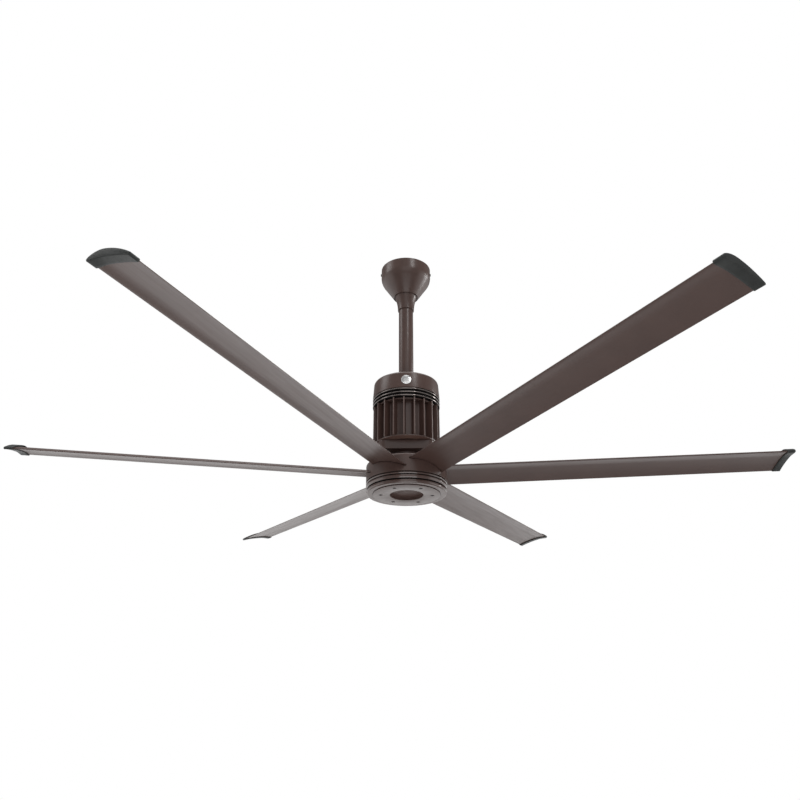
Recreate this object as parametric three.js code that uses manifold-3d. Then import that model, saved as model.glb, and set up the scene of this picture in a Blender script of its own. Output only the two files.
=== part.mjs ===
// A six-blade ceiling fan on a short downrod, in millimetres, +Z up.
// The origin is the middle of the bracket's top face, which lies on the ceiling.
// The front, which carries the badge, faces -Y. Everything hangs below the origin.
import * as THREE from "three";
import { mergeVertices } from "three/addons/utils/BufferGeometryUtils.js";
import Module from "manifold-3d";

// Clearances, and how far a cutting tool runs past what it cuts
const seatGap = 0.3;
const slideGap = 0.4;
const overshoot = 1;

// Ceiling bracket: a bent strap with a ball socket
const strapThickness = 3;
const strapLength = 141;
const strapWidth = 54;
const strapCorner = 20;
const strapSlotWidth = 7;
const strapSlotLength = 22;
const strapSlotSpacing = 106;
const wireWindowLength = 26;
const wireWindowWidth = 13;
const wireWindowOffset = 16.5;
const legWidth = 34;
const socketDepth = 20;
const socketWall = 6.5;
const socketMouth = 46;
const earWidth = 16;
const earDrop = 24;

// Hanger ball and its cross pin
const ballRadius = 34;
const ballDrop = 44;
const ballAbove = 14;
const ballBelow = 22;
const hangerPinRadius = 4;
const hangerPinLength = 60;

// Canopy and the collar below it
const canopyRadius = 74.1;
const canopyHeight = 96;
const canopyWall = 1.6;
const canopyCorner = 39.7;
const canopyShoulder = 42;
const canopyMouth = 35.5;
const canopyScrewDrop = 14;
const canopyScrewRadius = 2;
const canopyScrewHead = 4.2;
const canopyScrewHeadHeight = 1.8;
const canopyScrewLength = 8;
const collarTopInset = 4;
const collarLength = 50;
const collarLowerRadius = 24;
const collarSweep = 130;

// Downrod and the coupling that holds it
const rodRadius = 21.2;
const rodWall = 3;
const rodLength = 394.8;
const rodAboveBall = 16;
const rodInCover = 36;
const couplingPinRadius = 4.5;
const couplingPinLength = 62;
const couplingPinRise = 12;
const couplingRadius = 31;
const couplingAbove = 26;
const couplingFlangeRadius = 44;
const couplingFlangeHeight = 6;
const couplingWindow = 14;

// Top cover over the drive electronics
const coverLowerRadius = 94.6;
const coverTaper = 3.6;
const coverTopRadius = coverLowerRadius - coverTaper;
const coverHeight = 50;
const coverEdge = 5;
const coverWall = 2.5;
const coverRodHole = 23;
const badgeRadius = 15;
const badgeThickness = 2;
const badgeDrop = 27;
const badgeFlat = 12;

// Ring with polished ridges under the cover
const ridgeRingHeight = 27;
const ridgeRingDepth = 12.6;
const ridgeRingBore = coverLowerRadius - ridgeRingDepth;
const ridgeHeight = 5.4;
const ridgeGroove = 2.6;
const ridgePitch = 9.9;
const ridgeFirstDrop = 3.5;
const ridgeCount = 3;

// Drive board on the motor housing
const boardInset = 16.6;
const boardRadius = coverLowerRadius - boardInset;
const boardBore = 48;
const boardThickness = 2;
const boardStand = 8;
const boardStandRadius = 4;
const boardStandCount = 4;
const capacitorRadius = 7;
const capacitorHeight = 14;
const capacitorAngles = [-20, 0, 20];
const chokeBore = 3.5;
const chokeRadius = 9.8;
const chokeHeight = 7;
const chokeAngle = 90;
const heatBlockDepth = 14;
const heatBlockWidth = 28;
const heatBlockHeight = 11.2;
const heatBlockAngle = 180;
const chipSize = 9.4;
const chipHeight = 2;
const chipAngles = [-60, -90, -120];

// Finned motor housing
const finCount = 20;
const finPhase = -4.1;
const finInset = 1.6;
const finRadius = coverLowerRadius - finInset;
const finThickness = 3.6;
const finLength = 107;
const finRootFillet = 3;
const finFootFillet = 4;
const housingFlange = 4;
const housingRadius = 70;
const housingWall = 4.5;
const housingTop = 7;
const bandHeight = 3;
const bandInset = 3;
const bandRadius = coverLowerRadius - bandInset;
const wireHoleRadius = 7;
const wireHoleCircle = 42;

// Lower motor cover
const endCoverWidth = 132;
const endCoverCorner = 12;
const endCoverHeight = 26;
const endCoverWall = 4;
const endCoverRecess = 58;
const endCoverBoss = 45;
const endCoverBossHeight = 18;
const bearingWall = 5;
const bearingLip = 3;
const lipBore = 18.5;

// Bearings: bore, outside and width of each
const upperBearing = { bore: 10, outside: 23.5, width: 14 };
const lowerBearing = { bore: 12.5, outside: 26, width: 15 };
const bearingRing = 4.2;
const ballsPerBearing = 7;
const ballClearance = 0.45;

// Stator and rotor of the motor
const statorBore = 38.5;
const statorLength = 55;
const statorTopDrop = 33;
const slotCount = 9;
const toothWidth = 8;
const slotMouth = 4;
const toothTip = 4;
const yokeDepth = 8;
const windingInner = 43;
const windingOuter = 56;
const slotLining = 0.5;
const windingHeight = 12;
const airGap = 0.8;
const magnetThickness = 5;
const magnetCount = 10;
const magnetGroove = 1.2;
const shaftRadius = 15;
const shaftEnd = 10;
const nutAcross = 32;
const nutHeight = 9;
const nutFlats = 6;
const shaftStickOut = 3;
const shaftChamfer = 1;

// Hub drum and what closes it below
const bossGap = 2;
const hubBoss = 76;
const hubBossHeight = 9;
const hubRadius = 110;
const hubHeight = 51;
const hubEdge = 6;
const hubWall = 4;
const lowerRingHeight = 31;
const lowerRingWall = 3.5;
const lowerGrooveDepth = 2.6;
const lowerGrooves = [
  { drop: 7.25, height: 1.9 },
  { drop: 19.4, height: 3.2 },
];
const ringFaceInset = 1.4;
const ringFaceWidth = 17.1;
const ringFaceSlope = 2.4;
const ringFaceCorner = 4.5;
const ringFaceOuter = hubRadius - ringFaceInset;
const ringFaceInner = ringFaceOuter - ringFaceWidth;
const plateThickness = 3;
const plateOpening = 45.35;
const plateScrewCount = 6;
const plateScrewCircle = 69.5;
const plateScrewRadius = 2.2;
const plateScrewHead = 3.8;
const plateScrewLength = 10;
const plateFlangeBore = 62;
const plateFlangeHeight = 5;
const capRecess = 9;
const capThickness = 2.5;
const capLip = 6;

// Blades
const bladeCount = 6;
const rotorTurn = 2.65;
const tipRadius = 1066.8;
const bladePitch = 11.75;
const bladeRise = 3.262;
const bladeDrop = 30.4;
const leadingReach = 53.4;
const trailingReach = 50.5;
const bladeThickness = 0.12;
const bladeCamber = 0.092;
const camberPlace = 0.35;
const trailingEdge = 1.6;
const thicknessScale = 5;
const cellSteps = 3;
const bladeWall = 1.8;
const bladeWeb = 3;
const cellEdges = [7, 37, 69, 84];
const bladeRoot = 88;
const capLength = 22.8;
const capOverhang = 2.8;
const capProud = 2.6;
const capSocket = 13;
const sectionPoints = 8;

// Blade carrier and arms
const carrierFlat = 48;
const carrierHeight = 42;
const carrierBoss = 40;
const carrierBossHeight = 4;
const carrierNeck = 16.5;
const armReach = 210;
const armFootDepth = 12;
const armFootWidth = 46;
const armFootHeight = 24;

// Facets
const roundSides = 30;
const mediumSides = 16;
const smallSides = 8;
const cornerSteps = 2;
const mergeTolerance = 1e-4;

// Finishes: colour, roughness and metalness of each material
const bronzePaint = { color: 0x4e4441, roughness: 0.45, metalness: 0.3 };
const polishedEdge = { color: 0x9a918b, roughness: 0.25, metalness: 0.8 };
const badgeSilver = { color: 0xe2e2e2, roughness: 0.35, metalness: 0.9 };
const darkPlated = { color: 0x3f3b38, roughness: 0.4, metalness: 0.8 };
const darkPlastic = { color: 0x323432, roughness: 0.6, metalness: 0 };
const zincSteel = { color: 0x9b9d9f, roughness: 0.4, metalness: 0.9 };
const bearingSteel = { color: 0xb5b7b9, roughness: 0.25, metalness: 1 };
const laminations = { color: 0x5c5e62, roughness: 0.5, metalness: 0.8 };
const copperWire = { color: 0xa8623a, roughness: 0.4, metalness: 0.7 };
const circuitBoard = { color: 0x1f5a36, roughness: 0.5, metalness: 0 };
const magnetSteel = { color: 0x6f7176, roughness: 0.35, metalness: 0.9 };
const castAluminium = { color: 0xa4a6a8, roughness: 0.5, metalness: 0.8 };

const wasm = await Module();
wasm.setup();
const rad = THREE.MathUtils.degToRad;

// Solids: join and cut work on closed geometries and give a closed geometry back.
function toSolid(geometry) {
  const bare = geometry.index ? geometry.toNonIndexed() : geometry.clone();
  for (const name of Object.keys(bare.attributes)) {
    if (name !== "position") bare.deleteAttribute(name);
  }
  const merged = mergeVertices(bare, mergeTolerance);
  const vertProperties = merged.attributes.position.array;
  const triVerts = new Uint32Array(merged.index.array);
  return new wasm.Manifold(new wasm.Mesh({ numProp: 3, vertProperties, triVerts }));
}

function fromSolid(solid) {
  const mesh = solid.getMesh();
  const geometry = new THREE.BufferGeometry();
  geometry.setAttribute("position", new THREE.BufferAttribute(mesh.vertProperties, 3));
  geometry.setIndex(new THREE.BufferAttribute(mesh.triVerts, 1));
  geometry.computeVertexNormals();
  return geometry;
}

function join(...geometries) {
  return fromSolid(geometries.map(toSolid).reduce((all, next) => all.add(next)));
}

function cut(base, ...tools) {
  return fromSolid(tools.map(toSolid).reduce((rest, tool) => rest.subtract(tool), toSolid(base)));
}

// Basic forms, all placed by their real limits
function block(x, y, z) {
  const box = new THREE.BoxGeometry(x[1] - x[0], y[1] - y[0], z[1] - z[0]);
  return box.translate((x[0] + x[1]) / 2, (y[0] + y[1]) / 2, (z[0] + z[1]) / 2);
}

function uprightCylinder(radius, bottom, top, sides = smallSides) {
  const cylinder = new THREE.CylinderGeometry(radius, radius, top - bottom, sides);
  return cylinder.rotateX(Math.PI / 2).translate(0, 0, (top + bottom) / 2);
}

function crossCylinder(radius, length, height, sides = smallSides) {
  const cylinder = new THREE.CylinderGeometry(radius, radius, length, sides);
  return cylinder.rotateZ(Math.PI / 2).translate(0, 0, height);
}

// Tools for round holes, whose flats stand no closer in than the radius
function uprightBore(radius, bottom, top, sides = smallSides) {
  return uprightCylinder(radius / Math.cos(Math.PI / sides), bottom, top, sides);
}

function crossBore(radius, length, height, sides = smallSides) {
  return crossCylinder(radius / Math.cos(Math.PI / sides), length, height, sides);
}

function prism(shape, bottom, top, steps = cornerSteps) {
  const solid = new THREE.ExtrudeGeometry(shape, {
    depth: top - bottom,
    bevelEnabled: false,
    curveSegments: steps,
  });
  return solid.translate(0, 0, bottom);
}

// Turns an outline of radius and height about the Z axis. An outline that starts and ends on
// the axis stays open there, and any other closes on itself.
function revolve(outline, sides = roundSides, steps = cornerSteps) {
  const points = outline.getPoints(steps).filter(
    (point, i, all) => i === 0 || point.distanceTo(all[i - 1]) > mergeTolerance,
  );
  if (points[0].distanceTo(points.at(-1)) < mergeTolerance) points.pop();
  if (THREE.ShapeUtils.area(points) < 0) points.reverse();
  const onAxis = points[0].x === 0 && points.at(-1).x === 0;
  if (!onAxis) points.push(points[0].clone());
  return new THREE.LatheGeometry(points, sides).rotateX(Math.PI / 2);
}

function outlineOf(...corners) {
  const shape = new THREE.Shape();
  shape.moveTo(...corners[0]);
  for (const corner of corners.slice(1)) shape.lineTo(...corner);
  return shape;
}

function ring(inner, outer, bottom, top, sides = roundSides) {
  return revolve(outlineOf([inner, bottom], [outer, bottom], [outer, top], [inner, top]), sides);
}

function roundedSlot(length, width, x, y) {
  const half = (length - width) / 2;
  const slot = new THREE.Shape();
  slot.absarc(x + half, y, width / 2, -Math.PI / 2, Math.PI / 2);
  slot.absarc(x - half, y, width / 2, Math.PI / 2, (3 * Math.PI) / 2);
  return slot;
}

function roundedRectangle(length, width, corner) {
  const x = length / 2 - corner;
  const y = width / 2 - corner;
  const shape = new THREE.Shape();
  shape.absarc(x, -y, corner, -Math.PI / 2, 0);
  shape.absarc(x, y, corner, 0, Math.PI / 2);
  shape.absarc(-x, y, corner, Math.PI / 2, Math.PI);
  shape.absarc(-x, -y, corner, Math.PI, (3 * Math.PI) / 2);
  return shape;
}

function around(geometry, angle) {
  return geometry.clone().rotateZ(angle);
}

// The part is three nested groups: what stays on the ceiling, what hangs from the ball,
// and what spins.
const fan = new THREE.Group();
const hanging = new THREE.Group();
const rotor = new THREE.Group();
fan.add(hanging);
hanging.add(rotor);

function place(parent, name, geometry, finish) {
  const mesh = new THREE.Mesh(geometry, new THREE.MeshStandardMaterial(finish));
  mesh.name = name;
  parent.add(mesh);
  return mesh;
}

// Heights, worked out from the ceiling down
const ballHeight = -ballDrop;
const rodTop = ballHeight + rodAboveBall;
const rodBottom = rodTop - rodLength;
const coverTop = rodBottom + rodInCover;
const coverBottom = coverTop - coverHeight;
const ridgeRingTop = coverBottom - seatGap;
const ridgeRingBottom = ridgeRingTop - ridgeRingHeight;
const housingTopFace = ridgeRingBottom - seatGap;
const finTop = housingTopFace - housingFlange;
const finBottom = finTop - finLength;
const housingBottom = finBottom - bandHeight;
const endCoverTop = housingBottom - seatGap;
const endCoverBottom = endCoverTop - endCoverHeight;
const hubBossTop = endCoverBottom - endCoverBossHeight - bossGap;
const hubTop = hubBossTop - hubBossHeight;
const hubBottom = hubTop - hubHeight;
const lowerRingTop = hubBottom - seatGap;
const fanBottom = lowerRingTop - lowerRingHeight;

// The ball's outline between its two flats, grown by a gap, from an inner radius
function ballOutline(gap, inner) {
  const low = Math.asin(-ballBelow / ballRadius);
  const high = Math.asin(ballAbove / ballRadius);
  const radius = ballRadius + gap;
  const outline = new THREE.Shape();
  outline.moveTo(inner, ballHeight + radius * Math.sin(low) - (inner ? 0 : gap));
  outline.absarc(0, ballHeight, radius, low, high);
  outline.lineTo(inner, ballHeight + radius * Math.sin(high));
  return outline;
}

// Ceiling bracket: a strap with screw slots, two legs, two canopy ears and a ball socket
// that is open at the front, so that the ball can be hung in it from the side.
function ceilingBracket() {
  const legInside = ballRadius + socketWall - strapThickness;
  const socketOuter = ballRadius + socketWall;
  const socketBottom = ballHeight - ballBelow;
  const plate = roundedRectangle(strapLength, strapWidth, strapCorner);
  for (const side of [-1, 1]) {
    const slotX = (side * strapSlotSpacing) / 2;
    plate.holes.push(roundedSlot(strapSlotLength, strapSlotWidth, slotX, 0));
    plate.holes.push(roundedSlot(wireWindowLength, wireWindowWidth, 0, side * wireWindowOffset));
  }
  const pieces = [prism(plate, -strapThickness, 0)];
  for (const side of [-1, 1]) {
    const leg = [side * legInside, side * (legInside + strapThickness)].sort((a, b) => a - b);
    pieces.push(block(leg, [-legWidth / 2, legWidth / 2], [socketBottom, -strapThickness / 2]));
    const earOuter = strapLength / 2;
    const ear = [side * (earOuter - strapThickness), side * earOuter].sort((a, b) => a - b);
    pieces.push(block(ear, [-earWidth / 2, earWidth / 2], [-earDrop, -strapThickness / 2]));
  }
  const band = ring(legInside - socketWall, socketOuter, socketBottom, socketBottom + socketDepth);
  const mouthHalf = socketMouth / 2;
  const mouth = block(
    [-mouthHalf, mouthHalf],
    [-2 * socketOuter, 0],
    [socketBottom - socketDepth, socketBottom + 2 * socketDepth],
  );
  const screwHole = crossBore(canopyScrewRadius + seatGap, 2 * strapLength, -canopyScrewDrop);
  const seat = revolve(ballOutline(slideGap, 0), roundSides, cornerSteps);
  pieces.push(band);
  return cut(join(...pieces), seat, mouth, screwHole);
}
place(fan, "ceiling_bracket", ceilingBracket(), zincSteel);

// Hanger ball: a moulded ball cut flat above and below, with a bore for the rod
function hangerBall() {
  const pinHole = crossBore(hangerPinRadius + seatGap, 3 * ballRadius, ballHeight);
  return cut(revolve(ballOutline(0, rodRadius + seatGap)), pinHole);
}
place(hanging, "hanger_ball", hangerBall(), darkPlastic);
place(hanging, "hanger_pin", crossCylinder(hangerPinRadius, hangerPinLength, ballHeight), zincSteel);

// Canopy: a spun cup with a rounded shoulder and a cone that ends in a round mouth
function canopyShell() {
  const lipHeight = canopyWall;
  const coneTop = -canopyCorner;
  const coneBottom = -canopyHeight + lipHeight;
  const slope = Math.atan2(canopyRadius - canopyMouth - lipHeight, coneTop - coneBottom);
  const tangent = canopyShoulder * Math.tan(slope / 2);
  const centre = [canopyRadius - canopyShoulder, coneTop + tangent];
  const outline = new THREE.Shape();
  outline.moveTo(canopyMouth, -canopyHeight);
  outline.lineTo(canopyMouth + lipHeight / 2, -canopyHeight);
  outline.absarc(centre[0], centre[1], canopyShoulder, -slope, 0, false);
  outline.lineTo(canopyRadius, 0);
  outline.lineTo(canopyRadius - canopyWall, 0);
  outline.absarc(centre[0], centre[1], canopyShoulder - canopyWall, 0, -slope, true);
  outline.lineTo(canopyMouth, -canopyHeight + 2 * canopyWall);
  const holes = crossBore(canopyScrewRadius + seatGap, 3 * canopyRadius, -canopyScrewDrop);
  return cut(revolve(outline), holes);
}
place(fan, "canopy", canopyShell(), bronzePaint);

// Canopy screws, from each side into the bracket's ears
function canopyScrew() {
  const headSeat = canopyRadius + seatGap;
  const shank = crossCylinder(canopyScrewRadius, canopyScrewLength + seatGap, 0, smallSides / 2);
  shank.translate(headSeat - (canopyScrewLength - seatGap) / 2, 0, 0);
  const outline = new THREE.Shape();
  outline.moveTo(0, 0);
  outline.lineTo(canopyScrewHead, 0);
  outline.quadraticCurveTo(canopyScrewHead, canopyScrewHeadHeight, 0, canopyScrewHeadHeight);
  const head = revolve(outline, smallSides).rotateY(Math.PI / 2).translate(headSeat, 0, 0);
  return join(shank, head).translate(0, 0, -canopyScrewDrop);
}
for (const [name, angle] of [["canopy_screw_right", 0], ["canopy_screw_left", Math.PI]]) {
  place(fan, name, canopyScrew(), bronzePaint).rotation.z = angle;
}

// Trumpet collar on the rod, which covers the canopy's mouth
function canopyCollar() {
  const bore = rodRadius + seatGap;
  const top = -canopyHeight + collarTopInset;
  const bottom = top - collarLength;
  const sweep = Math.asin(collarLength / collarSweep);
  const outline = new THREE.Shape();
  outline.moveTo(bore, bottom);
  outline.absarc(collarLowerRadius + collarSweep, bottom, collarSweep, Math.PI, Math.PI - sweep, true);
  outline.lineTo(bore, top);
  return revolve(outline);
}
place(hanging, "canopy_collar", canopyCollar(), bronzePaint);

// Downrod: a tube with cross holes for the hanger pin and the coupling pin
const couplingPinHeight = rodBottom + couplingPinRise;
function downrodTube() {
  return cut(
    ring(rodRadius - rodWall, rodRadius, rodBottom, rodTop, roundSides / 2),
    crossBore(hangerPinRadius + seatGap, 3 * rodRadius, ballHeight),
    crossBore(couplingPinRadius + seatGap, 3 * rodRadius, couplingPinHeight),
  );
}
place(hanging, "downrod", downrodTube(), bronzePaint);

// Coupling: a flanged socket that pins the rod to the motor housing, with a window for wires
function rodCoupling() {
  const bottom = housingTopFace + seatGap;
  const top = rodBottom + couplingAbove;
  const bore = rodRadius + seatGap;
  const seat = rodBottom - seatGap;
  const wireBore = rodRadius - rodWall;
  const outline = outlineOf(
    [wireBore, bottom],
    [couplingFlangeRadius, bottom],
    [couplingFlangeRadius, bottom + couplingFlangeHeight],
    [couplingRadius, bottom + couplingFlangeHeight],
    [couplingRadius, top],
    [bore, top],
    [bore, seat],
    [wireBore, seat],
  );
  const half = couplingWindow / 2;
  const windowBottom = bottom + couplingFlangeHeight;
  const window = block([-half, half], [0, 2 * couplingRadius], [windowBottom, windowBottom + couplingWindow]);
  const pinHole = crossBore(couplingPinRadius + seatGap, 3 * couplingRadius, couplingPinHeight);
  return cut(revolve(outline, roundSides / 2), window, pinHole);
}
place(hanging, "rod_coupling", rodCoupling(), zincSteel);
place(
  hanging,
  "coupling_pin",
  crossCylinder(couplingPinRadius, couplingPinLength, couplingPinHeight),
  zincSteel,
);

// Top cover: a drafted cup, open below, with a rounded upper edge and a hole for the rod
const coverDraft = Math.atan2(coverLowerRadius - coverTopRadius, coverHeight);
function topCover() {
  const edgeCentre = coverTopRadius - coverEdge;
  const inner = coverEdge - coverWall;
  const outline = new THREE.Shape();
  outline.moveTo(coverRodHole, coverTop - coverWall);
  outline.absarc(edgeCentre, coverTop - coverEdge, inner, Math.PI / 2, coverDraft, true);
  outline.lineTo(coverLowerRadius - coverWall, coverBottom);
  outline.lineTo(coverLowerRadius, coverBottom);
  outline.absarc(edgeCentre, coverTop - coverEdge, coverEdge, coverDraft, Math.PI / 2, false);
  outline.lineTo(coverRodHole, coverTop);
  return revolve(outline);
}
place(hanging, "top_cover", topCover(), bronzePaint);

// Badge: a plain domed disc on the front of the top cover, hollowed behind to fit its curve
function badgeDisc() {
  const outline = new THREE.Shape();
  outline.moveTo(0, -badgeThickness);
  outline.lineTo(badgeRadius, -badgeThickness);
  outline.lineTo(badgeRadius, badgeThickness / 2);
  outline.quadraticCurveTo(badgeFlat, badgeThickness, 0, badgeThickness);
  const disc = revolve(outline, mediumSides).rotateX(Math.PI / 2 - coverDraft);
  disc.translate(0, -coverTopRadius - Math.tan(coverDraft) * badgeDrop, coverTop - badgeDrop);
  const behind = revolve(
    outlineOf(
      [0, coverBottom],
      [coverLowerRadius + seatGap, coverBottom],
      [coverTopRadius + seatGap, coverTop],
      [0, coverTop],
    ),
  );
  return cut(disc, behind);
}
place(hanging, "badge_disc", badgeDisc(), badgeSilver);

// Ring with rounded polished ridges and grooves between them
function ridgeRing() {
  const outline = new THREE.Shape();
  const grooveRadius = coverLowerRadius - ridgeGroove;
  outline.moveTo(ridgeRingBore, ridgeRingTop);
  outline.lineTo(ridgeRingBore, ridgeRingBottom);
  outline.lineTo(grooveRadius, ridgeRingBottom);
  for (let i = ridgeCount - 1; i >= 0; i -= 1) {
    const middle = ridgeRingTop - ridgeFirstDrop - i * ridgePitch;
    outline.lineTo(grooveRadius, middle - ridgeHeight / 2);
    outline.quadraticCurveTo(
      coverLowerRadius + ridgeGroove / 2, middle, grooveRadius, middle + ridgeHeight / 2,
    );
  }
  outline.lineTo(grooveRadius, ridgeRingTop);
  return revolve(outline);
}
place(hanging, "ridge_ring", ridgeRing(), polishedEdge);

// Drive board: a round board on posts, with capacitors, a choke, a heat block and chips
function driveBoard() {
  const postBottom = housingTopFace + seatGap;
  const boardBottom = postBottom + boardStand;
  const boardTop = boardBottom + boardThickness;
  const middle = (boardBore + boardRadius) / 2;
  const sunk = boardTop - boardThickness / 2;
  const boxOnBoard = (depth, width, height) =>
    block([middle - depth / 2, middle + depth / 2], [-width / 2, width / 2], [sunk, boardTop + height]);
  const post = uprightCylinder(boardStandRadius, postBottom, sunk, smallSides / 2).translate(middle, 0, 0);
  const capacitor = uprightCylinder(capacitorRadius, sunk, boardTop + capacitorHeight);
  capacitor.translate(middle, 0, 0);
  const choke = ring(chokeBore, chokeRadius, sunk, boardTop + chokeHeight, smallSides);
  choke.translate(middle, 0, 0);
  const heatBlock = boxOnBoard(heatBlockDepth, heatBlockWidth, heatBlockHeight);
  const chip = boxOnBoard(chipSize, chipSize, chipHeight);
  const pieces = [ring(boardBore, boardRadius, boardBottom, boardTop, roundSides / 2)];
  for (let i = 0; i < boardStandCount; i += 1) {
    pieces.push(around(post, (2 * Math.PI * (i + 1 / 2)) / boardStandCount));
  }
  for (const degrees of capacitorAngles) pieces.push(around(capacitor, rad(degrees)));
  for (const degrees of chipAngles) pieces.push(around(chip, rad(degrees)));
  pieces.push(around(choke, rad(chokeAngle)));
  pieces.push(around(heatBlock, rad(heatBlockAngle)));
  return join(...pieces);
}
place(hanging, "drive_board", driveBoard(), circuitBoard);

// Finned motor housing: a cup, open below, cut into fins by gaps with rounded roots and feet
const housingBore = housingRadius - housingWall;
const upperPocketTop = housingTopFace - bearingLip;
const upperPocketBottom = upperPocketTop - upperBearing.width - 2 * seatGap;

function finGap() {
  const halfStep = Math.PI / finCount;
  const outer = finRadius + finThickness;
  const sideAngle = (radius) => halfStep - Math.asin(finThickness / 2 / radius);
  const at = (radius, angle) => [radius * Math.cos(angle), radius * Math.sin(angle)];
  const rootAngle = sideAngle(housingRadius);
  const filletAngle = rootAngle - finRootFillet / housingRadius;
  const filletTop = housingRadius + finRootFillet;
  const plan = new THREE.Shape();
  plan.moveTo(...at(outer, -sideAngle(outer)));
  plan.lineTo(...at(outer, sideAngle(outer)));
  plan.lineTo(...at(filletTop, sideAngle(filletTop)));
  plan.quadraticCurveTo(...at(housingRadius, rootAngle), ...at(housingRadius, filletAngle));
  plan.lineTo(...at(housingRadius, -filletAngle));
  plan.quadraticCurveTo(...at(housingRadius, -rootAngle), ...at(filletTop, -sideAngle(filletTop)));
  const half = finRadius * Math.sin(sideAngle(finRadius));
  const front = new THREE.Shape();
  front.moveTo(half + finThickness, finTop);
  front.lineTo(-half - finThickness, finTop);
  front.lineTo(-half - finThickness, finBottom + finFootFillet);
  front.lineTo(-half, finBottom + finFootFillet);
  front.quadraticCurveTo(-half, finBottom, finFootFillet - half, finBottom);
  front.lineTo(half - finFootFillet, finBottom);
  front.quadraticCurveTo(half, finBottom, half, finBottom + finFootFillet);
  front.lineTo(half + finThickness, finBottom + finFootFillet);
  const across = prism(front, 0, 2 * finRadius).rotateX(Math.PI / 2).rotateZ(Math.PI / 2);
  const upright = prism(plan, finBottom - overshoot, finTop + overshoot);
  return fromSolid(toSolid(upright).intersect(toSolid(across)));
}

function motorHousing() {
  const pocket = upperBearing.outside + seatGap;
  const boss = pocket + bearingWall;
  const ceiling = housingTopFace - housingTop;
  const outline = outlineOf(
    [0, housingTopFace],
    [0, upperPocketTop],
    [pocket, upperPocketTop],
    [pocket, upperPocketBottom],
    [boss, upperPocketBottom],
    [boss, ceiling],
    [housingBore, ceiling],
    [housingBore, housingBottom],
    [bandRadius, housingBottom],
    [bandRadius, finBottom],
    [finRadius, finBottom],
    [finRadius, housingTopFace],
  );
  const gap = finGap();
  const gaps = [];
  for (let i = 0; i < finCount; i += 1) {
    gaps.push(around(gap, rad(finPhase) - Math.PI / 2 + (2 * Math.PI * (i + 1 / 2)) / finCount));
  }
  const wireHole = uprightBore(wireHoleRadius, ceiling - overshoot, housingTopFace + overshoot);
  return cut(revolve(outline), ...gaps, wireHole.translate(0, wireHoleCircle, 0));
}
place(hanging, "motor_housing", motorHousing(), bronzePaint);

// Lower motor cover: a square block with a recess above, and a round boss below with the
// lower bearing's seat
const lowerPocketBottom = endCoverBottom - endCoverBossHeight + bearingLip;
function lowerMotorCover() {
  const floor = endCoverBottom + endCoverWall;
  const bossBottom = endCoverBottom - endCoverBossHeight;
  const above = endCoverTop + overshoot;
  const square = roundedRectangle(endCoverWidth, endCoverWidth, endCoverCorner);
  return cut(
    join(
      prism(square, endCoverBottom, endCoverTop),
      uprightCylinder(endCoverBoss, bossBottom, floor, mediumSides),
    ),
    uprightBore(endCoverRecess, floor, above, mediumSides),
    uprightBore(lowerBearing.outside + seatGap, lowerPocketBottom, above, mediumSides),
    uprightBore(lipBore, bossBottom - overshoot, above, mediumSides),
  );
}
place(hanging, "lower_motor_cover", lowerMotorCover(), bronzePaint);

// Ball bearings: an outer ring with a race, and an inner ring that carries the balls
function bearingBall(bearing) {
  const pitch = (bearing.bore + bearing.outside) / 2;
  const toRing = bearing.outside - bearingRing - pitch;
  return { pitch, toRing, radius: toRing + ballClearance };
}

function outerBearingRing(bearing, bottom) {
  const { pitch, toRing, radius } = bearingBall(bearing);
  const race = radius + ballClearance;
  const half = Math.acos(toRing / race);
  const middle = bottom + bearing.width / 2;
  const outline = new THREE.Shape();
  outline.moveTo(pitch + toRing, bottom);
  outline.lineTo(bearing.outside, bottom);
  outline.lineTo(bearing.outside, bottom + bearing.width);
  outline.lineTo(pitch + toRing, bottom + bearing.width);
  outline.absarc(pitch, middle, race, half, -half, true);
  return revolve(outline, mediumSides);
}

function innerBearingRing(bearing, bottom) {
  const { pitch, radius } = bearingBall(bearing);
  const middle = bottom + bearing.width / 2;
  const outer = bearing.bore + bearingRing;
  const pieces = [ring(bearing.bore, outer, bottom, bottom + bearing.width, mediumSides)];
  const ball = new THREE.OctahedronGeometry(radius, 1);
  ball.translate(pitch, 0, middle);
  for (let i = 0; i < ballsPerBearing; i += 1) {
    pieces.push(around(ball, (2 * Math.PI * i) / ballsPerBearing));
  }
  return join(...pieces);
}

const upperBearingBottom = upperPocketBottom + seatGap;
const lowerBearingBottom = lowerPocketBottom + seatGap;
place(hanging, "upper_bearing_outer", outerBearingRing(upperBearing, upperBearingBottom), bearingSteel);
place(hanging, "lower_bearing_outer", outerBearingRing(lowerBearing, lowerBearingBottom), bearingSteel);
place(rotor, "upper_bearing_inner", innerBearingRing(upperBearing, upperBearingBottom), bearingSteel);
place(rotor, "lower_bearing_inner", innerBearingRing(lowerBearing, lowerBearingBottom), bearingSteel);

// Stator: a ring of teeth, and a winding whose bars fill the slots between two end turns
const statorRadius = housingBore - seatGap;
const statorTop = housingTopFace - statorTopDrop;
const statorBottom = statorTop - statorLength;

function slotPlan(inset) {
  const step = Math.PI / slotCount;
  const inner = statorBore + toothTip + inset;
  const outer = statorRadius - yokeDepth - inset;
  const side = (radius) => radius * Math.sin(step - Math.asin((toothWidth / 2 + inset) / radius));
  return { inner, outer, innerHalf: side(inner), outerHalf: side(outer) };
}

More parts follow.
